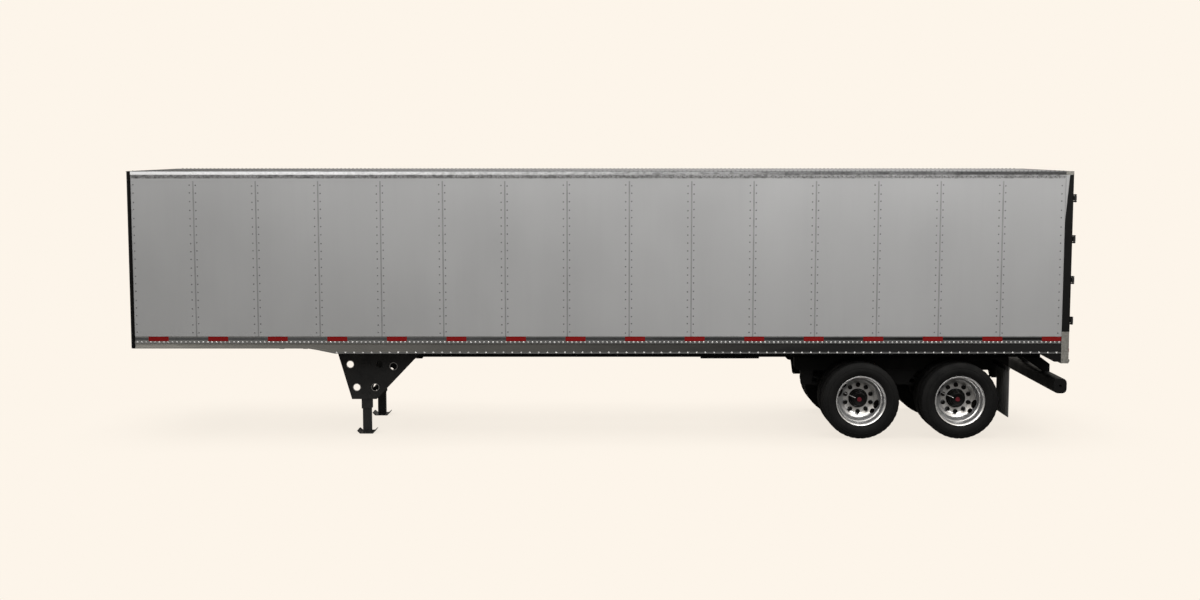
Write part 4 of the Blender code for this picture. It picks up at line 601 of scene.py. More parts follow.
# Looks of the CAD nodes that stay; a name without a side stands for both
NODE_LOOKS = {
    "sheet": ["side_wall", "front_wall", "nose_box"],
    "roof": ["roof"],
    "door": ["door"],
    "top_rail": ["top_rail"],
    "bottom_rail": ["underframe"],
    "nose": ["front_frame"],
    "black": [
        "coupler", "chassis_frame", "bogie_frame", "rear_frame", "underride_guard", "springs",
        "air_tank",
    ],
    "leg": ["landing_leg", "landing_foot", "landing_shaft", "landing_stays", "crank"],
    "steel": ["kingpin", "lock_rod"],
    "galvanised": ["rear_sill"],
    "wood": ["floor"],
    "flap": ["mud_flap"],
    "red_lens": ["tail_lamps"],
    "iron": ["axle", "wheel_inner"],
}


def dress_frame():
    """Better materials on the CAD nodes that stay."""
    for look, stems in NODE_LOOKS.items():
        for name, node in frame["nodes"].items():
            if any(name == stem or name.startswith(stem + "_") for stem in stems):
                node.data.materials.clear()
                node.data.materials.append(LOOKS[look])


# Meshes

def linked(name, data):
    """An object that is in the scene."""
    made = bpy.data.objects.new(name, data)
    bpy.context.scene.collection.objects.link(made)
    return made


def mesh_of(name, shape):
    points, faces = shape
    mesh = bpy.data.meshes.new(name)
    mesh.from_pydata([tuple(p) for p in points], [], [tuple(f) for f in faces])
    return mesh


def show(name, shape, look, body="root", smooth=SMOOTH):
    """A piece that rides on a body."""
    mesh = mesh_of(name, shape)
    mesh.update()
    mesh.materials.append(LOOKS[look])
    mesh.shade_smooth()
    mesh.set_sharp_from_angle(angle=math.radians(smooth))
    made = linked(name, mesh)
    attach(made, body)
    return made


def slabs(name, boxes, look, body="root", bevel=0.0):
    """Several boxes as one piece, with rounded edges if asked."""
    made = show(name, joined([block(low, high) for low, high in boxes]), look, body)
    if bevel:
        rounding = made.modifiers.new("rounding", "BEVEL")
        rounding.width = bevel
        rounding.segments = 2
        rounding.limit_method = "ANGLE"


def studs(name, head, places, look, body="root", smooth=SMOOTH):
    """Copies of a small shape at many places, as one piece."""
    show(name, scattered(head, places), look, body, smooth)


def joined(shapes):
    """Several shapes as one."""
    points = []
    faces = []
    for more, sides in shapes:
        faces += [tuple(len(points) + i for i in side) for side in sides]
        points += list(more)
    return points, faces


def scattered(shape, places):
    """Copies of one small shape at many places, as one shape."""
    points, faces = shape
    local = np.array([(*p, 1.0) for p in points])
    blocks = [(local @ np.array(place).T)[:, :3] for place in places]
    count = len(points)
    all_faces = [
        tuple(i * count + corner for corner in face)
        for i in range(len(places))
        for face in faces
    ]
    return np.concatenate(blocks), all_faces


def lathe(profile, steps, dent=None, closed=False):
    """A profile of (radius, distance) turned about Z; dent lowers radii at step i, point k."""
    points = []
    for i in range(steps):
        turn = 2 * math.pi * i / steps
        for k, (radius, along) in enumerate(profile):
            if dent:
                radius = radius - dent(i, k)
            points.append((radius * math.cos(turn), radius * math.sin(turn), along))
    count = len(profile)
    faces = []
    for i in range(steps):
        j = (i + 1) % steps
        for k in range(count if closed else count - 1):
            m = (k + 1) % count
            faces.append((i * count + k, j * count + k, j * count + m, i * count + m))
    return points, faces


def scaled(shares, radius, rise):
    return [(radius * out, rise * up) for out, up in shares]


def dome(radius=RIVET_RADIUS, rise=RIVET_RISE):
    """A rivet head that stands on the XY plane."""
    return lathe(scaled(DOME_SHARES, radius, rise), RIVET_SIDES)


def bolt(radius=BOLT_RADIUS, rise=BOLT_RISE):
    """A bolt head on its washer, standing on the XY plane."""
    washer = scaled(WASHER_SHARES, radius, rise)
    head = scaled(HEAD_SHARES, radius, rise)
    return joined([
        lathe(washer + [(AXIS, washer[-1][1])], NUT_STEPS),
        lathe(head + [(AXIS, rise)], BOLT_SIDES),
    ])


def block(low, high):
    """A box between two corners given in any order."""
    spans = [sorted(pair) for pair in zip(low, high)]
    corners = [(x, y, z) for x in spans[0] for y in spans[1] for z in spans[2]]
    faces = [(0, 1, 3, 2), (4, 6, 7, 5), (0, 4, 5, 1), (2, 3, 7, 6), (0, 2, 6, 4), (1, 5, 7, 3)]
    return corners, faces


def prism(outline, y_ends):
    """A flat outline in X and Z, drawn out along Y between two ends."""
    count = len(outline)
    points = [(x, y, z) for y in sorted(y_ends) for x, z in outline]
    faces = [tuple(range(count)), tuple(reversed(range(count, 2 * count)))]
    for i in range(count):
        j = (i + 1) % count
        faces.append((j, i, i + count, j + count))
    return points, faces


def tube(route, radius, sides=TUBE_SIDES):
    """A round bar along a route of points."""
    turns = [2 * math.pi * k / sides for k in range(sides)]
    ring = [Vector((radius * math.cos(t), radius * math.sin(t), 0.0)) for t in turns]
    points = []
    for i, point in enumerate(route):
        ahead = Vector(route[min(i + 1, len(route) - 1)]) - Vector(route[max(i - 1, 0)])
        stand = facing(point, ahead)
        points += [stand @ p for p in ring]
    faces = []
    for i in range(len(route) - 1):
        for k in range(sides):
            m = (k + 1) % sides
            faces.append((i * sides + k, i * sides + m, (i + 1) * sides + m, (i + 1) * sides + k))
    last = (len(route) - 1) * sides
    return points, faces + [tuple(reversed(range(sides))), tuple(range(last, last + sides))]


def facing(place, normal):
    """A matrix that stands a shape at a place, along a normal."""
    up = Vector(normal).to_track_quat("Z", "Y").to_matrix().to_4x4()
    return Matrix.Translation(place) @ up


def moved(shape, place):
    points, faces = shape
    return [place @ Vector(p) for p in points], faces


def spaced(low, high, pitch):
    """Places evenly spread between two ends, about a pitch apart."""
    count = max(1, round((high - low) / pitch))
    return [low + (i + 0.5) * (high - low) / count for i in range(count)]


def row(fixed, along, places, normal):
    """Matrices in a line: fixed is a point whose coordinate along an axis is replaced."""
    points = [(*fixed[:along], place, *fixed[along + 1:]) for place in places]
    return [facing(point, normal) for point in points]


# Body

def side_sheets(hand, side):
    """Laps and rivet rows on a side wall."""
    face = side * SHEET_Y
    seams = [WALL_LOW.x + i * PANEL_PITCH for i in range(1, PANELS)]
    half = SEAM_WIDTH / 2
    proud = face + side * SEAM_PROUD
    laps = [((x - half, face, WALL_LOW.z), (x + half, proud, WALL_HIGH.z)) for x in seams]
    slabs(f"seam_laps_{hand}", laps, "seam")
    rows = [x + beside for x in seams for beside in SEAM_ROWS]
    rows += [WALL_LOW.x + SEAM_ROWS[1], WALL_HIGH.x + SEAM_ROWS[0]]
    heads = []
    for x in rows:
        for z in spaced(WALL_LOW.z, WALL_HIGH.z - TOP_FLANGE, SEAM_RIVET_PITCH):
            z += random.uniform(-RIVET_WANDER, RIVET_WANDER)
            heads.append(facing((x, face, z), (0, side, 0)))
    studs(f"sheet_rivets_{hand}", dome(), heads, "rivet")


def top_edge(hand, side):
    """Folded roof edge, the flange on the sheets, and rivets on the rail and the roof."""
    fold_low = TOP_HIGH.z - ROOF_FOLD
    low = (TOP_LOW.x, side * (SIDE_Y - TRIM_PROUD), fold_low)
    high = (TOP_HIGH.x, side * (SIDE_Y + TRIM_PROUD), TOP_HIGH.z)
    # The fold's colour carries a painted highlight that fades toward the rear.
    slabs(f"roof_fold_painted_highlight_{hand}", [(low, high)], "fold")
    low = (WALL_LOW.x, side * SHEET_Y, WALL_HIGH.z - TOP_FLANGE)
    high = (WALL_HIGH.x, side * (SHEET_Y + TRIM_PROUD), WALL_HIGH.z)
    slabs(f"top_flange_{hand}", [(low, high)], "sheet")
    places = spaced(TOP_LOW.x, TOP_HIGH.x, RAIL_RIVET_PITCH)
    heads = row((0, side * SIDE_Y, (TOP_LOW.z + fold_low) / 2), 0, places, (0, side, 0))
    studs(f"top_rivets_{hand}", dome(), heads, "rivet")
    heads = row((0, side * (SIDE_Y - ROOF_BUMP_INSET), ROOF_TOP), 0, places, (0, 0, 1))
    bump = dome(ROOF_BUMP_RADIUS, ROOF_BUMP_RISE)
    studs(f"roof_rivets_{hand}", bump, heads, "seal")


def bottom_edge(hand, side):
    """Rivets on the ridge and lip of a bottom rail, its groove's band of painted shade and the
    tape.
    """
    face = SIDE_Y - GROOVE_SET
    low = (WALL_LOW.x, side * face, GROOVE_BOTTOM + GROOVE_EDGE)
    high = (WALL_HIGH.x, side * (face + BAND_PROUD), GROOVE_TOP - GROOVE_EDGE)
    slabs(f"groove_shade_band_{hand}", [(low, high)], "groove")
    marks = []
    for i in range(TAPE_COUNT):
        x = TAPE_FIRST + i * TAPE_PITCH
        low = (x - TAPE_LENGTH / 2, side * face, GROOVE_BOTTOM)
        end = min(x + TAPE_LENGTH / 2, WALL_HIGH.x)
        marks.append((low, (end, side * (face + TAPE_PROUD), GROOVE_TOP)))
    slabs(f"tape_marks_{hand}", marks, "tape")
    places = spaced(WALL_LOW.x, WALL_HIGH.x, RAIL_RIVET_PITCH)
    ridge_z = GROOVE_BOTTOM - RIDGE_HEIGHT / 2
    heads = row((0, side * SIDE_Y, ridge_z), 0, places, (0, side, 0))
    lip_start = WALL_LOW.x + NOSE_RAIL_LENGTH
    places = spaced(lip_start, WALL_HIGH.x, 2 * RAIL_RIVET_PITCH)
    heads += row((0, side * SIDE_Y, RAIL_LOW.z + RAIL_LIP / 2), 0, places, (0, side, 0))
    head = dome(RIDGE_RIVET_RADIUS)
    # The rivets' light tone is a painted highlight.
    studs(f"rail_rivets_{hand}", head, heads, "highlight_painted_rivet")


def nose_details():
    """Rivets on the front wall, bolts on the nose box and collars of its couplings."""
    heads = []
    width = (FRONT_HIGH.y - FRONT_LOW.y) / NOSE_PANELS
    for i in range(NOSE_PANELS + 1):
        y = FRONT_LOW.y + i * width
        y = max(FRONT_LOW.y - SEAM_ROWS[0], min(FRONT_HIGH.y + SEAM_ROWS[0], y))
        places = spaced(FRONT_LOW.z, FRONT_HIGH.z, SEAM_RIVET_PITCH)
        heads += row((FRONT_LOW.x, y + SEAM_ROWS[1], 0), 2, places, (-1, 0, 0))
    studs("front_rivets", dome(), heads, "rivet")
    low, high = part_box("nose_box")
    face = low.x + COUPLING_REACH
    corners = [
        facing((face, y, z), (-1, 0, 0))
        for y in (low.y + EDGE_INSET, high.y - EDGE_INSET)
        for z in (low.z + EDGE_INSET, high.z - EDGE_INSET)
    ]
    studs("nose_box_bolts", bolt(), corners, "steel")
    middle = (low.z + high.z) / 2
    collars = [
        facing((face, y, middle), (-1, 0, 0)) for y in (-COUPLING_PITCH, 0.0, COUPLING_PITCH)
    ]
    studs("coupling_collars", lathe(COLLAR, RING_STEPS), collars, "seal")


def lining():
    """Plywood boards and a steel scuff plate on each inside wall, and the floor's screws."""
    length = (WALL_HIGH.x - WALL_LOW.x) / LINING_BOARDS
    foot = FLOOR_HIGH.z + SCUFF_HEIGHT
    for hand, side in SIDES:
        wall = side * INSIDE_Y
        face = wall - side * LINING_PLATE
        boards = []
        for i in range(LINING_BOARDS):
            x = WALL_LOW.x + i * length
            boards.append(((x + LINING_GAP, wall, foot), (x + length, face, TOP_LOW.z)))
        slabs(f"lining_{hand}", boards, "lining")
        plate = [((WALL_LOW.x, wall, FLOOR_HIGH.z), (WALL_HIGH.x, face, foot))]
        slabs(f"scuff_plate_{hand}", plate, "galvanised")
    screws = []
    width = (FLOOR_HIGH.y - FLOOR_LOW.y) / PLANKS
    places = spaced(FLOOR_LOW.x, FLOOR_HIGH.x, CROSS_PITCH)
    for i in range(PLANKS):
        for share in SCREW_SHARES:
            y = FLOOR_LOW.y + (i + share) * width
            screws += row((0, y, FLOOR_HIGH.z), 0, places, (0, 0, 1))
    studs("floor_screws", lathe(SCREW, RIVET_SIDES), screws, "steel")


# Rear

def door_details(hand, side):
    """Seal round a door, rivets along its edges, bolts through its straps and hinge pins."""
    body = f"door_{hand}"
    low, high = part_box(body)
    inner = min(abs(low.y), abs(high.y))
    outer = HALF_OPENING
    near = inner + GASKET_WIDTH
    far = outer - GASKET_WIDTH
    edges = [
        ((inner, low.z), (near, high.z)),
        ((far, low.z), (outer, high.z)),
        ((near, low.z), (far, low.z + GASKET_WIDTH)),
        ((near, high.z - GASKET_WIDTH), (far, high.z)),
    ]
    strips = [
        ((DOOR_FACE - GASKET_PROUD, side * a[0], a[1]),
         (DOOR_FACE + GASKET_PROUD, side * b[0], b[1]))
        for a, b in edges
    ]
    slabs(f"door_seal_{hand}", strips, "seal", body)
    heads = []
    for y in (inner + DOOR_EDGE / 2 + GASKET_WIDTH / 2, outer - DOOR_EDGE / 2):
        places = spaced(low.z, high.z, SEAM_RIVET_PITCH)
        heads += row((DOOR_FACE, side * y, 0), 2, places, (1, 0, 0))
    for z in (low.z + DOOR_ROW_INSET, high.z - DOOR_ROW_INSET):
        places = spaced(side * inner, side * outer, side * SEAM_RIVET_PITCH)
        heads += row((DOOR_FACE, 0, z), 1, places, (1, 0, 0))
    head = dome(DOOR_RIVET_RADIUS, DOOR_RIVET_RISE)
    studs(f"door_rivets_{hand}", head, heads, "rivet", body)
    straps = []
    pins = []
    for z in hinge_heights(low.z, high.z):
        for out in STRAP_BOLTS:
            straps.append(facing((PIN_X - PIN_RADIUS, side * (PIN_Y - out), z), (1, 0, 0)))
        for end in (-1, 1):
            pins.append(facing((PIN_X, side * PIN_Y, z + end * PIN_REACH), (0, 0, end)))
    head = bolt(STRAP_BOLT_RADIUS, STRAP_BOLT_RISE)
    studs(f"strap_bolts_{hand}", head, straps, "steel", body)
    studs(f"hinge_pins_{hand}", dome(PIN_HEAD_RADIUS), pins, "steel")


def hinge_heights(low, high):
    first = low + HINGE_INSET
    step = (high - low - 2 * HINGE_INSET) / (HINGES - 1)
    return [first + i * step for i in range(HINGES)]


def rear_details():
    """Covers and caps on the rear posts, lamp collars, sill bolts, gussets and header lamps."""
    for hand, side in SIDES:
        wedge = [
            (REAR_LOW.x, REAR_HIGH.z),
            (REAR_LOW.x, REAR_HIGH.z - POST_COVER_DROP),
            (REAR_LOW.x + POST_COVER, REAR_HIGH.z),
        ]
        cover = prism(wedge, (side * SIDE_Y, side * (SIDE_Y + TRIM_PROUD)))
        show(f"post_cover_{hand}", cover, "sheet")
        low = (REAR_LOW.x, side * (SIDE_Y - CAP_REACH), REAR_HIGH.z - CAP_HEIGHT)
        wide = side * (SIDE_Y + 2 * TRIM_PROUD)
        cap = [(low, (REAR_FACE + TRIM_PROUD, wide, REAR_HIGH.z + TRIM_PROUD))]
        name = f"corner_cap_{hand}"
        slabs(name, cap, "galvanised", bevel=CAP_BEVEL)
        low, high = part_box(f"tail_lamps_{hand}")
        middle = (low.y + high.y) / 2
        z = (low.z + high.z) / 2
        places = [
            facing((low.x + LAMP_PLATE, middle + i * LAMP_PITCH, z), (1, 0, 0))
            for i in (-1, 0, 1)
        ]
        name = f"lamp_collars_{hand}"
        collar = lathe(LAMP_COLLAR, BAND_STEPS)
        studs(name, collar, places, "seal", smooth=RIM_SMOOTH)
        places = spaced(*sorted((side * SILL_FIRST, side * SILL_LAST)), SILL_PITCH)
        heads = row((REAR_FACE, 0, SILL_LOW.z + EDGE_INSET), 1, places, (1, 0, 0))
        studs(f"sill_bolts_{hand}", bolt(), heads, "steel")
    gussets = [
        prism(GUSSET, (side * (SIDE_Y - EDGE_INSET), side * (SIDE_Y - EDGE_INSET / 2)))
        for side in (-1, 1)
    ]
    show("sill_gussets", joined(gussets), "black")
    header_z = REAR_HIGH.z - MARKER_HEIGHT
    lamps = []
    for y in (-MARKER_CORNER, -MARKER_PITCH, 0.0, MARKER_PITCH, MARKER_CORNER):
        low = (REAR_FACE, y - MARKER_LENGTH / 2, header_z - MARKER_HEIGHT / 2)
        top = header_z + MARKER_HEIGHT / 2
        lamps.append((low, (REAR_FACE + MARKER_DEPTH, y + MARKER_LENGTH / 2, top)))
    slabs("header_markers", lamps, "red_lens", bevel=MARKER_BEVEL)


# Wheels

def wheel_joint(corner):
    return next(j for j in frame["joints"] if j["child"] == f"wheel_{corner}")["pos_m"]


def wheel_place(corner, side):
    """Middle of a pair of twin wheels, with Z pointing outboard."""
    turn = Matrix.Rotation(-side * math.pi / 2, 4, "X")
    return Matrix.Translation(wheel_joint(corner)) @ turn


def tyre_profile(middle):
    """Section from one bead round the tread to the other, with its rib grooves."""
    bead = RIM_WIDTH / 2
    wide = TYRE_WIDTH / 2
    half = [
        (BEAD_RADIUS + BEAD_PLAY, bead - BEAD_HEEL),
        (FLANGE_RADIUS - 2 * BEAD_PLAY, bead + BEAD_PLAY),
    ]
    half += [(FLANGE_RADIUS + out, wide - inset) for out, inset in TYRE_SIDE]
    half.append((TYRE_RADIUS - CROWN_DROP, TREAD_WIDTH / 2 + BEAD_PLAY))
    tread = []
    for share in RIB_SHARES:
        place = TREAD_WIDTH * share
        crown = TYRE_RADIUS - CROWN_CURVE * place * place
        tread += [
            (crown, place + RIB_GROOVE / 2),
            (crown - RIB_DEPTH, place + RIB_GROOVE / 4),
            (crown - RIB_DEPTH, place - RIB_GROOVE / 4),
            (crown, place - RIB_GROOVE / 2),
        ]
    section = half + tread + [(r, -w) for r, w in half[::-1]]
    return [(r, middle + w) for r, w in section], len(half), len(tread)


def tyres(corner, side):
    """Ribbed tyres of one pair, in place of the plain solids."""
    place = wheel_place(corner, side)
    for which, sign in (("outer", 1), ("inner", -1)):
        profile, half, tread = tyre_profile(sign * DUAL_SPACING / 2)
        shoulder = (half - 2, half - 1, half + tread, half + tread + 1)

        def dent(i, k):
            return SHOULDER_CUT if k in shoulder and i % SHOULDER_EVERY == 0 else 0.0

        made = show(
            f"tyre_{which}_{corner}_tread", moved(lathe(profile, TYRE_STEPS, dent), place),
            "tyre", f"wheel_{corner}", WHEEL_SMOOTH,
        )
        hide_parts(f"tyre_{which}_{corner}")


def rim_section():
    """Closed section of a rim: its dish, flange, outside and the back of its disc."""
    middle = DUAL_SPACING / 2
    half = RIM_WIDTH / 2
    outer = middle + half
    inner = middle - half
    lip = outer + RIM_FLANGE
    section = [(r, DISC_FACE + out) for r, out in DISH]
    section += [
        (RIM_BORE, outer - 3 * RIM_ROLL),
        (RIM_BORE + RIM_ROLL, outer - RIM_ROLL),
        (FLANGE_RADIUS - 2 * RIM_ROLL, outer + RIM_ROLL),
        (FLANGE_RADIUS - RIM_ROLL, lip - RIM_ROLL / 3),
        (FLANGE_RADIUS - RIM_ROLL / 2, lip),
        (FLANGE_RADIUS, lip - RIM_ROLL / 2),
        (FLANGE_RADIUS, outer),
        (BEAD_RADIUS, outer - RIM_ROLL),
        (BEAD_RADIUS, inner + RIM_ROLL),
        (FLANGE_RADIUS, inner),
        (FLANGE_RADIUS, inner - RIM_FLANGE),
        (RIM_BORE + RIM_ROLL, inner - RIM_FLANGE / 2),
    ]
    return section + [(r, DISC_FACE + out) for r, out in DISH_BACK]


def outer_wheel(corner, side):
    """Polished outer wheel with its hand holes, in place of the plain solid."""
    place = wheel_place(corner, side)
    made = show(
        f"disc_outer_{corner}", moved(lathe(rim_section(), WHEEL_STEPS, closed=True), place),
        "alloy", f"wheel_{corner}", RIM_SMOOTH,
    )
    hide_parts(f"wheel_outer_{corner}")
    cut_holes(made, place, side)


def cut_holes(made, place, side):
    """Cut the hand holes through a wheel's disc."""
    drum = [(AXIS, -HOLE_DEPTH), (1.0, -HOLE_DEPTH), (1.0, HOLE_DEPTH), (AXIS, HOLE_DEPTH)]
    holes = []
    for degrees, half_length, half_width in HAND_HOLES:
        turn = Matrix.Rotation(math.radians(degrees * -side), 4, "Z")
        out = Matrix.Translation((HAND_HOLE_CIRCLE, 0.0, DISC_FACE))
        holes.append(place @ turn @ out @ Matrix.Diagonal((half_width, half_length, 1.0, 1.0)))
    tool = linked("holes", mesh_of("holes", scattered(lathe(drum, RING_STEPS), holes)))
    change = made.modifiers.new("holes", "BOOLEAN")
    change.operation = "DIFFERENCE"
    change.object = tool
    bpy.context.view_layer.objects.active = made
    bpy.ops.object.modifier_apply(modifier=change.name)
    bpy.data.objects.remove(tool, do_unlink=True)


def hub_parts(corner, side):
    """Oil cap with its red plug, ten capped wheel nuts and the valve's stem."""
    body = f"wheel_{corner}"
    seat = wheel_place(corner, side) @ Matrix.Translation((0.0, 0.0, DISC_FACE))
    cap = moved(lathe(HUB_CAP, HUB_STEPS), seat)
    show(f"hub_cap_{corner}", cap, "hub", body, WHEEL_SMOOTH)
    plug = moved(lathe(HUB_PLUG, RING_STEPS), seat)
    show(f"hub_plug_{corner}", plug, "plug", body, WHEEL_SMOOTH)
    nut = lathe(scaled(NUT_SHARES, LUG_RADIUS, LUG_LENGTH) + [(AXIS, LUG_LENGTH)], NUT_STEPS)
    places = []
    for i in range(LUGS):
        turn = Matrix.Rotation(2 * math.pi * i / LUGS + math.pi / 2, 4, "Z")
        places.append(seat @ turn @ Matrix.Translation((LUG_CIRCLE, 0.0, 0.0)))
    studs(f"wheel_nuts_{corner}", nut, places, "hub", body, WHEEL_SMOOTH)
    turn = seat @ Matrix.Rotation(math.radians(VALVE_TURN * -side), 4, "Z")
    route = [turn @ Vector((r, 0.0, out)) for r, out in VALVE]
    show(f"valve_stem_{corner}", tube(route, VALVE_RADIUS), "steel", body)


# Underneath

def undercarriage():
    """U-bolts and plates at the axle seats, chamber bands and the air tank's bands."""
    low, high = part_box("springs_left")
    spring_y = -(low.y + high.y) / 2
    over = low.z + SPRING_THICKNESS
    for axle in AXLES:
        x, _, z = wheel_joint(f"{axle}_left")
        under = z - AXLE_RADIUS
        bolts = []
        plates = []
        bands = []
        for side in (-1, 1):
            y = side * spring_y
            plates.append(plate_over(x, y, under - UBOLT_PLATE, under))
            plates.append(plate_over(x, y, over, over + UBOLT_PLATE))
            for end in (-1, 1):
                bolts += u_bolt(x + end * UBOLT_REACH, y, under, over)
            for out in CHAMBER_BANDS:
                place = facing((x + out, side * (spring_y - CHAMBER_IN), z), (1, 0, 0))
                bands.append(moved(lathe(CHAMBER_BAND, RING_STEPS), place))
        show(f"u_bolts_{axle}", joined(bolts), "leg")
        slabs(f"spring_plates_{axle}", plates, "leg")
        show(f"chamber_bands_{axle}", joined(bands), "steel")
    low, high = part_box("air_tank")
    bands = [
        facing((x, 0.0, low.z + TANK_RADIUS), (1, 0, 0))
        for x in (low.x + TANK_BAND_INSET, high.x - TANK_BAND_INSET)
    ]
    studs("tank_bands", lathe(TANK_BAND, BAND_STEPS), bands, "leg")


def plate_over(x, y, low, high):
    reach = UBOLT_REACH + UBOLT_PLATE
    half = UBOLT_HALF + UBOLT_PLATE
    return (x - reach, y - half, low), (x + reach, y + half, high)


def u_bolt(x, y, under, over):
    """A U-bolt down past the axle on both sides of the spring, and its two nuts."""
    top = over + UBOLT_PLATE
    end = under - UBOLT_TAIL
    w = UBOLT_HALF
    r = UBOLT_PLATE
    route = [
        (x, y - w, end), (x, y - w, top - r), (x, y - w + r, top + UBOLT_RADIUS),
        (x, y + w - r, top + UBOLT_RADIUS), (x, y + w, top - r), (x, y + w, end),
    ]
    made = [tube(route, UBOLT_RADIUS)]
    for across in (-1, 1):
        foot = (x, y + across * w, under - UBOLT_PLATE)
        made.append(moved(bolt(UBOLT_NUT, UBOLT_NUT), facing(foot, (0, 0, -1))))
    return made


def landing_details():
    """Bolts and hole rims on the wing plates, shoe pins, and bolts on the crank's gearbox."""
    for hand, side in SIDES:
        low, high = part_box(f"landing_leg_{hand}")
        foot_low, foot_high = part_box(f"landing_foot_{hand}")
        leg_x = (foot_low.x + foot_high.x) / 2
        leg_y = (foot_low.y + foot_high.y) / 2
        face = (low.y if side < 0 else high.y) - side * CREASE_RISE
        out = (0, side, 0)
        heads = [facing((leg_x + along, face, high.z - down), out) for along, down in LEG_BOLTS]
        studs(f"leg_bolts_{hand}", bolt(), heads, "leg")
        rims = [facing((leg_x + along, face, z), out) for along, z in WING_HOLES]
        rim = lathe(HOLE_RIM, RING_STEPS, closed=True)
        studs(f"hole_rims_{hand}", rim, rims, "steel")
        pin_z = foot_low.z + SHOE_PIN_RISE
        pin = [(leg_x, leg_y - SHOE_PIN, pin_z), (leg_x, leg_y + SHOE_PIN, pin_z)]
        show(f"shoe_pin_{hand}", tube(pin, BOLT_RADIUS), "leg")
    low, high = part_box("crank")
    heads = [
        facing((x, low.y + GEARBOX_DEPTH, z), (0, 1, 0))
        for x in (low.x + EDGE_INSET, high.x - EDGE_INSET)
        for z in (high.z - EDGE_INSET, high.z - GEARBOX_SIZE + EDGE_INSET)
    ]
    studs("gearbox_bolts", bolt(), heads, "steel")


def coupler_details():
    """Flush bolts along both edges of the coupler's plate."""
    low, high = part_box("coupler")
    places = spaced(low.x, high.x, 2 * SEAM_RIVET_PITCH)
    heads = []
    for side in (-1, 1):
        heads += row((0, side * (high.y - EDGE_INSET), low.z), 0, places, (0, 0, -1))
    studs("coupler_rivets", dome(BOLT_RADIUS), heads, "leg")


def flap_details(hand):
    """Ribs on a mud flap, and the strip and bolts that clamp it."""
    low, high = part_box(f"mud_flap_{hand}")
    rise = FLAP_RIB_RISE
    ribs = [
        ((low.x - rise, y - rise, low.z + FLAP_EDGE),
         (high.x + rise, y + rise, high.z - 2 * FLAP_EDGE))
        for y in spaced(low.y + FLAP_EDGE, high.y - FLAP_EDGE, FLAP_RIB_PITCH)
    ]
    slabs(f"flap_ribs_{hand}", ribs, "flap")
    top = high.z - FLAP_STRIP
    strip = [((high.x, low.y, top), (high.x + LAMP_PLATE, high.y, high.z))]
    slabs(f"flap_strip_{hand}", strip, "leg")
    places = spaced(low.y, high.y, FLAP_RIB_PITCH)
    heads = row((high.x + LAMP_PLATE, 0, (top + high.z) / 2), 1, places, (1, 0, 0))
    studs(f"flap_bolts_{hand}", bolt(), heads, "steel")


# Stage, lights and camera

def either(tree, factor, first, second):
    """The first shader at 0, the second at 1."""
    return add(tree, "ShaderNodeMixShader", {0: factor, 1: first, 2: second}).outputs[0]


def glow(tree, kind, tone, strength):
    return add(tree, kind, {"Color": colour(tone), "Strength": strength}).outputs[0]


def ray_kind(tree, *kinds):
    """1 for the named kinds of ray, 0 for others."""
    rays = add(tree, "ShaderNodeLightPath")
    total = rays.outputs[kinds[0]]
    for kind in kinds[1:]:
        total = combined(tree, "MAXIMUM", total, rays.outputs[kind])
    return total


def by_ray(tree, spread, mirrored, plain):
    """Shaders for spread light, for reflections and for the camera."""
    lit = either(tree, ray_kind(tree, "Is Glossy Ray"), spread, mirrored)
    return either(tree, ray_kind(tree, "Is Camera Ray", "Is Transmission Ray"), lit, plain)


def pale_floor():
    """Floor of plain background with a soft shadow; it lights the object as pale ground."""
    made = bpy.data.materials.new("pale_floor")
    made.use_nodes = True
    tree = made.node_tree
    tree.nodes.clear()
    sky = add(tree, "ShaderNodeAmbientOcclusion", {"Distance": SHADOW_REACH}).outputs["AO"]
    shade = ranged(tree, sky, SHADOW[0], OPEN_SKY, SHADOW[1], 1.0)
    plain = glow(tree, "ShaderNodeEmission", BACKGROUND, shade)
    bounce = add(tree, "ShaderNodeBsdfDiffuse", {"Color": colour(FLOOR_BOUNCE)}).outputs[0]
    mirrored = glow(tree, "ShaderNodeEmission", BACKGROUND, FLOOR_SEEN)
    above = by_ray(tree, bounce, mirrored, plain)
    clear = add(tree, "ShaderNodeBsdfTransparent").outputs[0]
    below = add(tree, "ShaderNodeNewGeometry").outputs["Backfacing"]
    add(tree, "ShaderNodeOutputMaterial", {"Surface": either(tree, below, above, clear)})
    return made


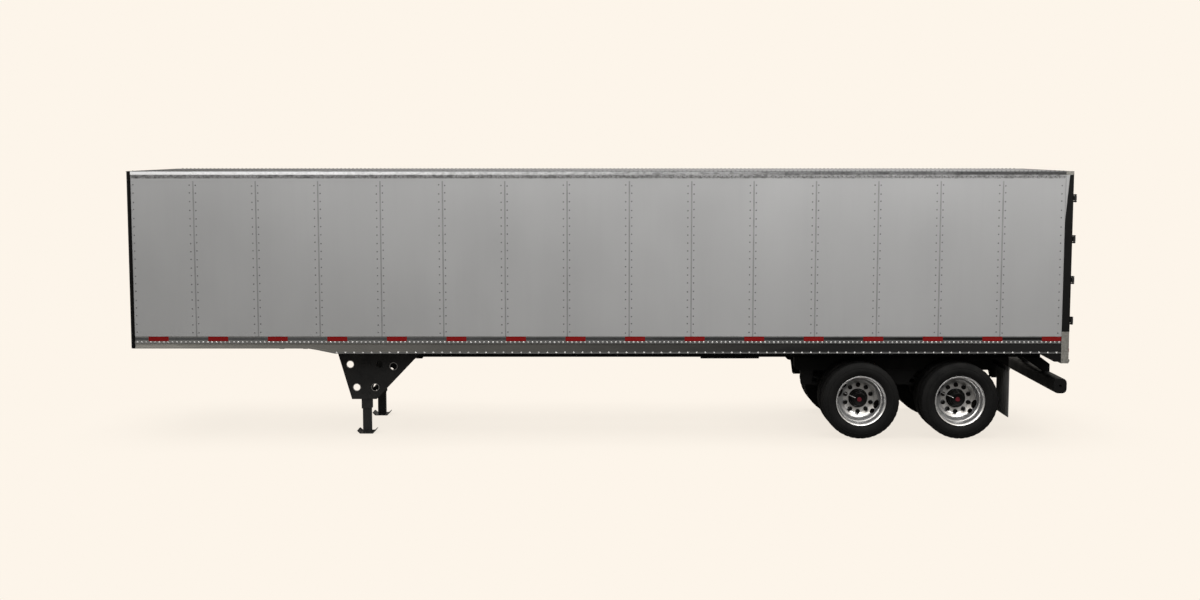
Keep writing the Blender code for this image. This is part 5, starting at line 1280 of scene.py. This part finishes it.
def studio_world():
    """Background for the camera, and a sky brighter overhead for light and reflections."""
    world = bpy.data.worlds.new("studio")
    bpy.context.scene.world = world
    world.use_nodes = True
    tree = world.node_tree
    tree.nodes.clear()
    up = place_along(tree, "Z", "Generated")
    plain = glow(tree, "ShaderNodeBackground", BACKGROUND, 1.0)
    light = glow(tree, "ShaderNodeBackground", WHITE, ranged(tree, up, 0.0, 1.0, *SKY_LIGHT))
    sky = glow(tree, "ShaderNodeBackground", BACKGROUND, ranged(tree, up, 0.0, SKY_TOP, *SKY_SEEN))
    add(tree, "ShaderNodeOutputWorld", {"Surface": by_ray(tree, light, sky, plain)})


def stage():
    r = FLOOR_REACH
    corners = [(-r, -r, 0.0), (r, -r, 0.0), (r, r, 0.0), (-r, r, 0.0)]
    mesh = mesh_of("floor_plane", (corners, [(0, 1, 2, 3)]))
    mesh.materials.append(pale_floor())
    plane = linked("floor_plane", mesh)
    studio_world()
    for name, place, aim, width, height, watts in LIGHTS:
        lamp = bpy.data.lights.new(name, "AREA")
        lamp.shape = "RECTANGLE"
        lamp.size = width
        lamp.size_y = height
        lamp.energy = watts
        made = linked(name, lamp)
        made.location = place
        made.rotation_euler = (Vector(aim) - Vector(place)).to_track_quat("-Z", "Y").to_euler()


def camera():
    data = bpy.data.cameras.new("camera")
    data.lens = CAMERA_LENS
    data.sensor_width = SENSOR_WIDTH
    data.clip_end = CLIP_END
    made = linked("camera", data)
    made.location = CAMERA_PLACE
    made.rotation_euler = (math.radians(90.0 - CAMERA_DOWN), 0.0, 0.0)
    bpy.context.scene.camera = made


def main():
    random.seed(SEED)
    camera()
    stage()
    dress_frame()
    for hand, side in SIDES:
        side_sheets(hand, side)
        top_edge(hand, side)
        bottom_edge(hand, side)
        door_details(hand, side)
        flap_details(hand)
        for axle in AXLES:
            corner = f"{axle}_{hand}"
            tyres(corner, side)
            outer_wheel(corner, side)
            hub_parts(corner, side)
    nose_details()
    lining()
    rear_details()
    undercarriage()
    landing_details()
    coupler_details()


main()
bpy.context.scene.view_settings.view_transform = "Standard"
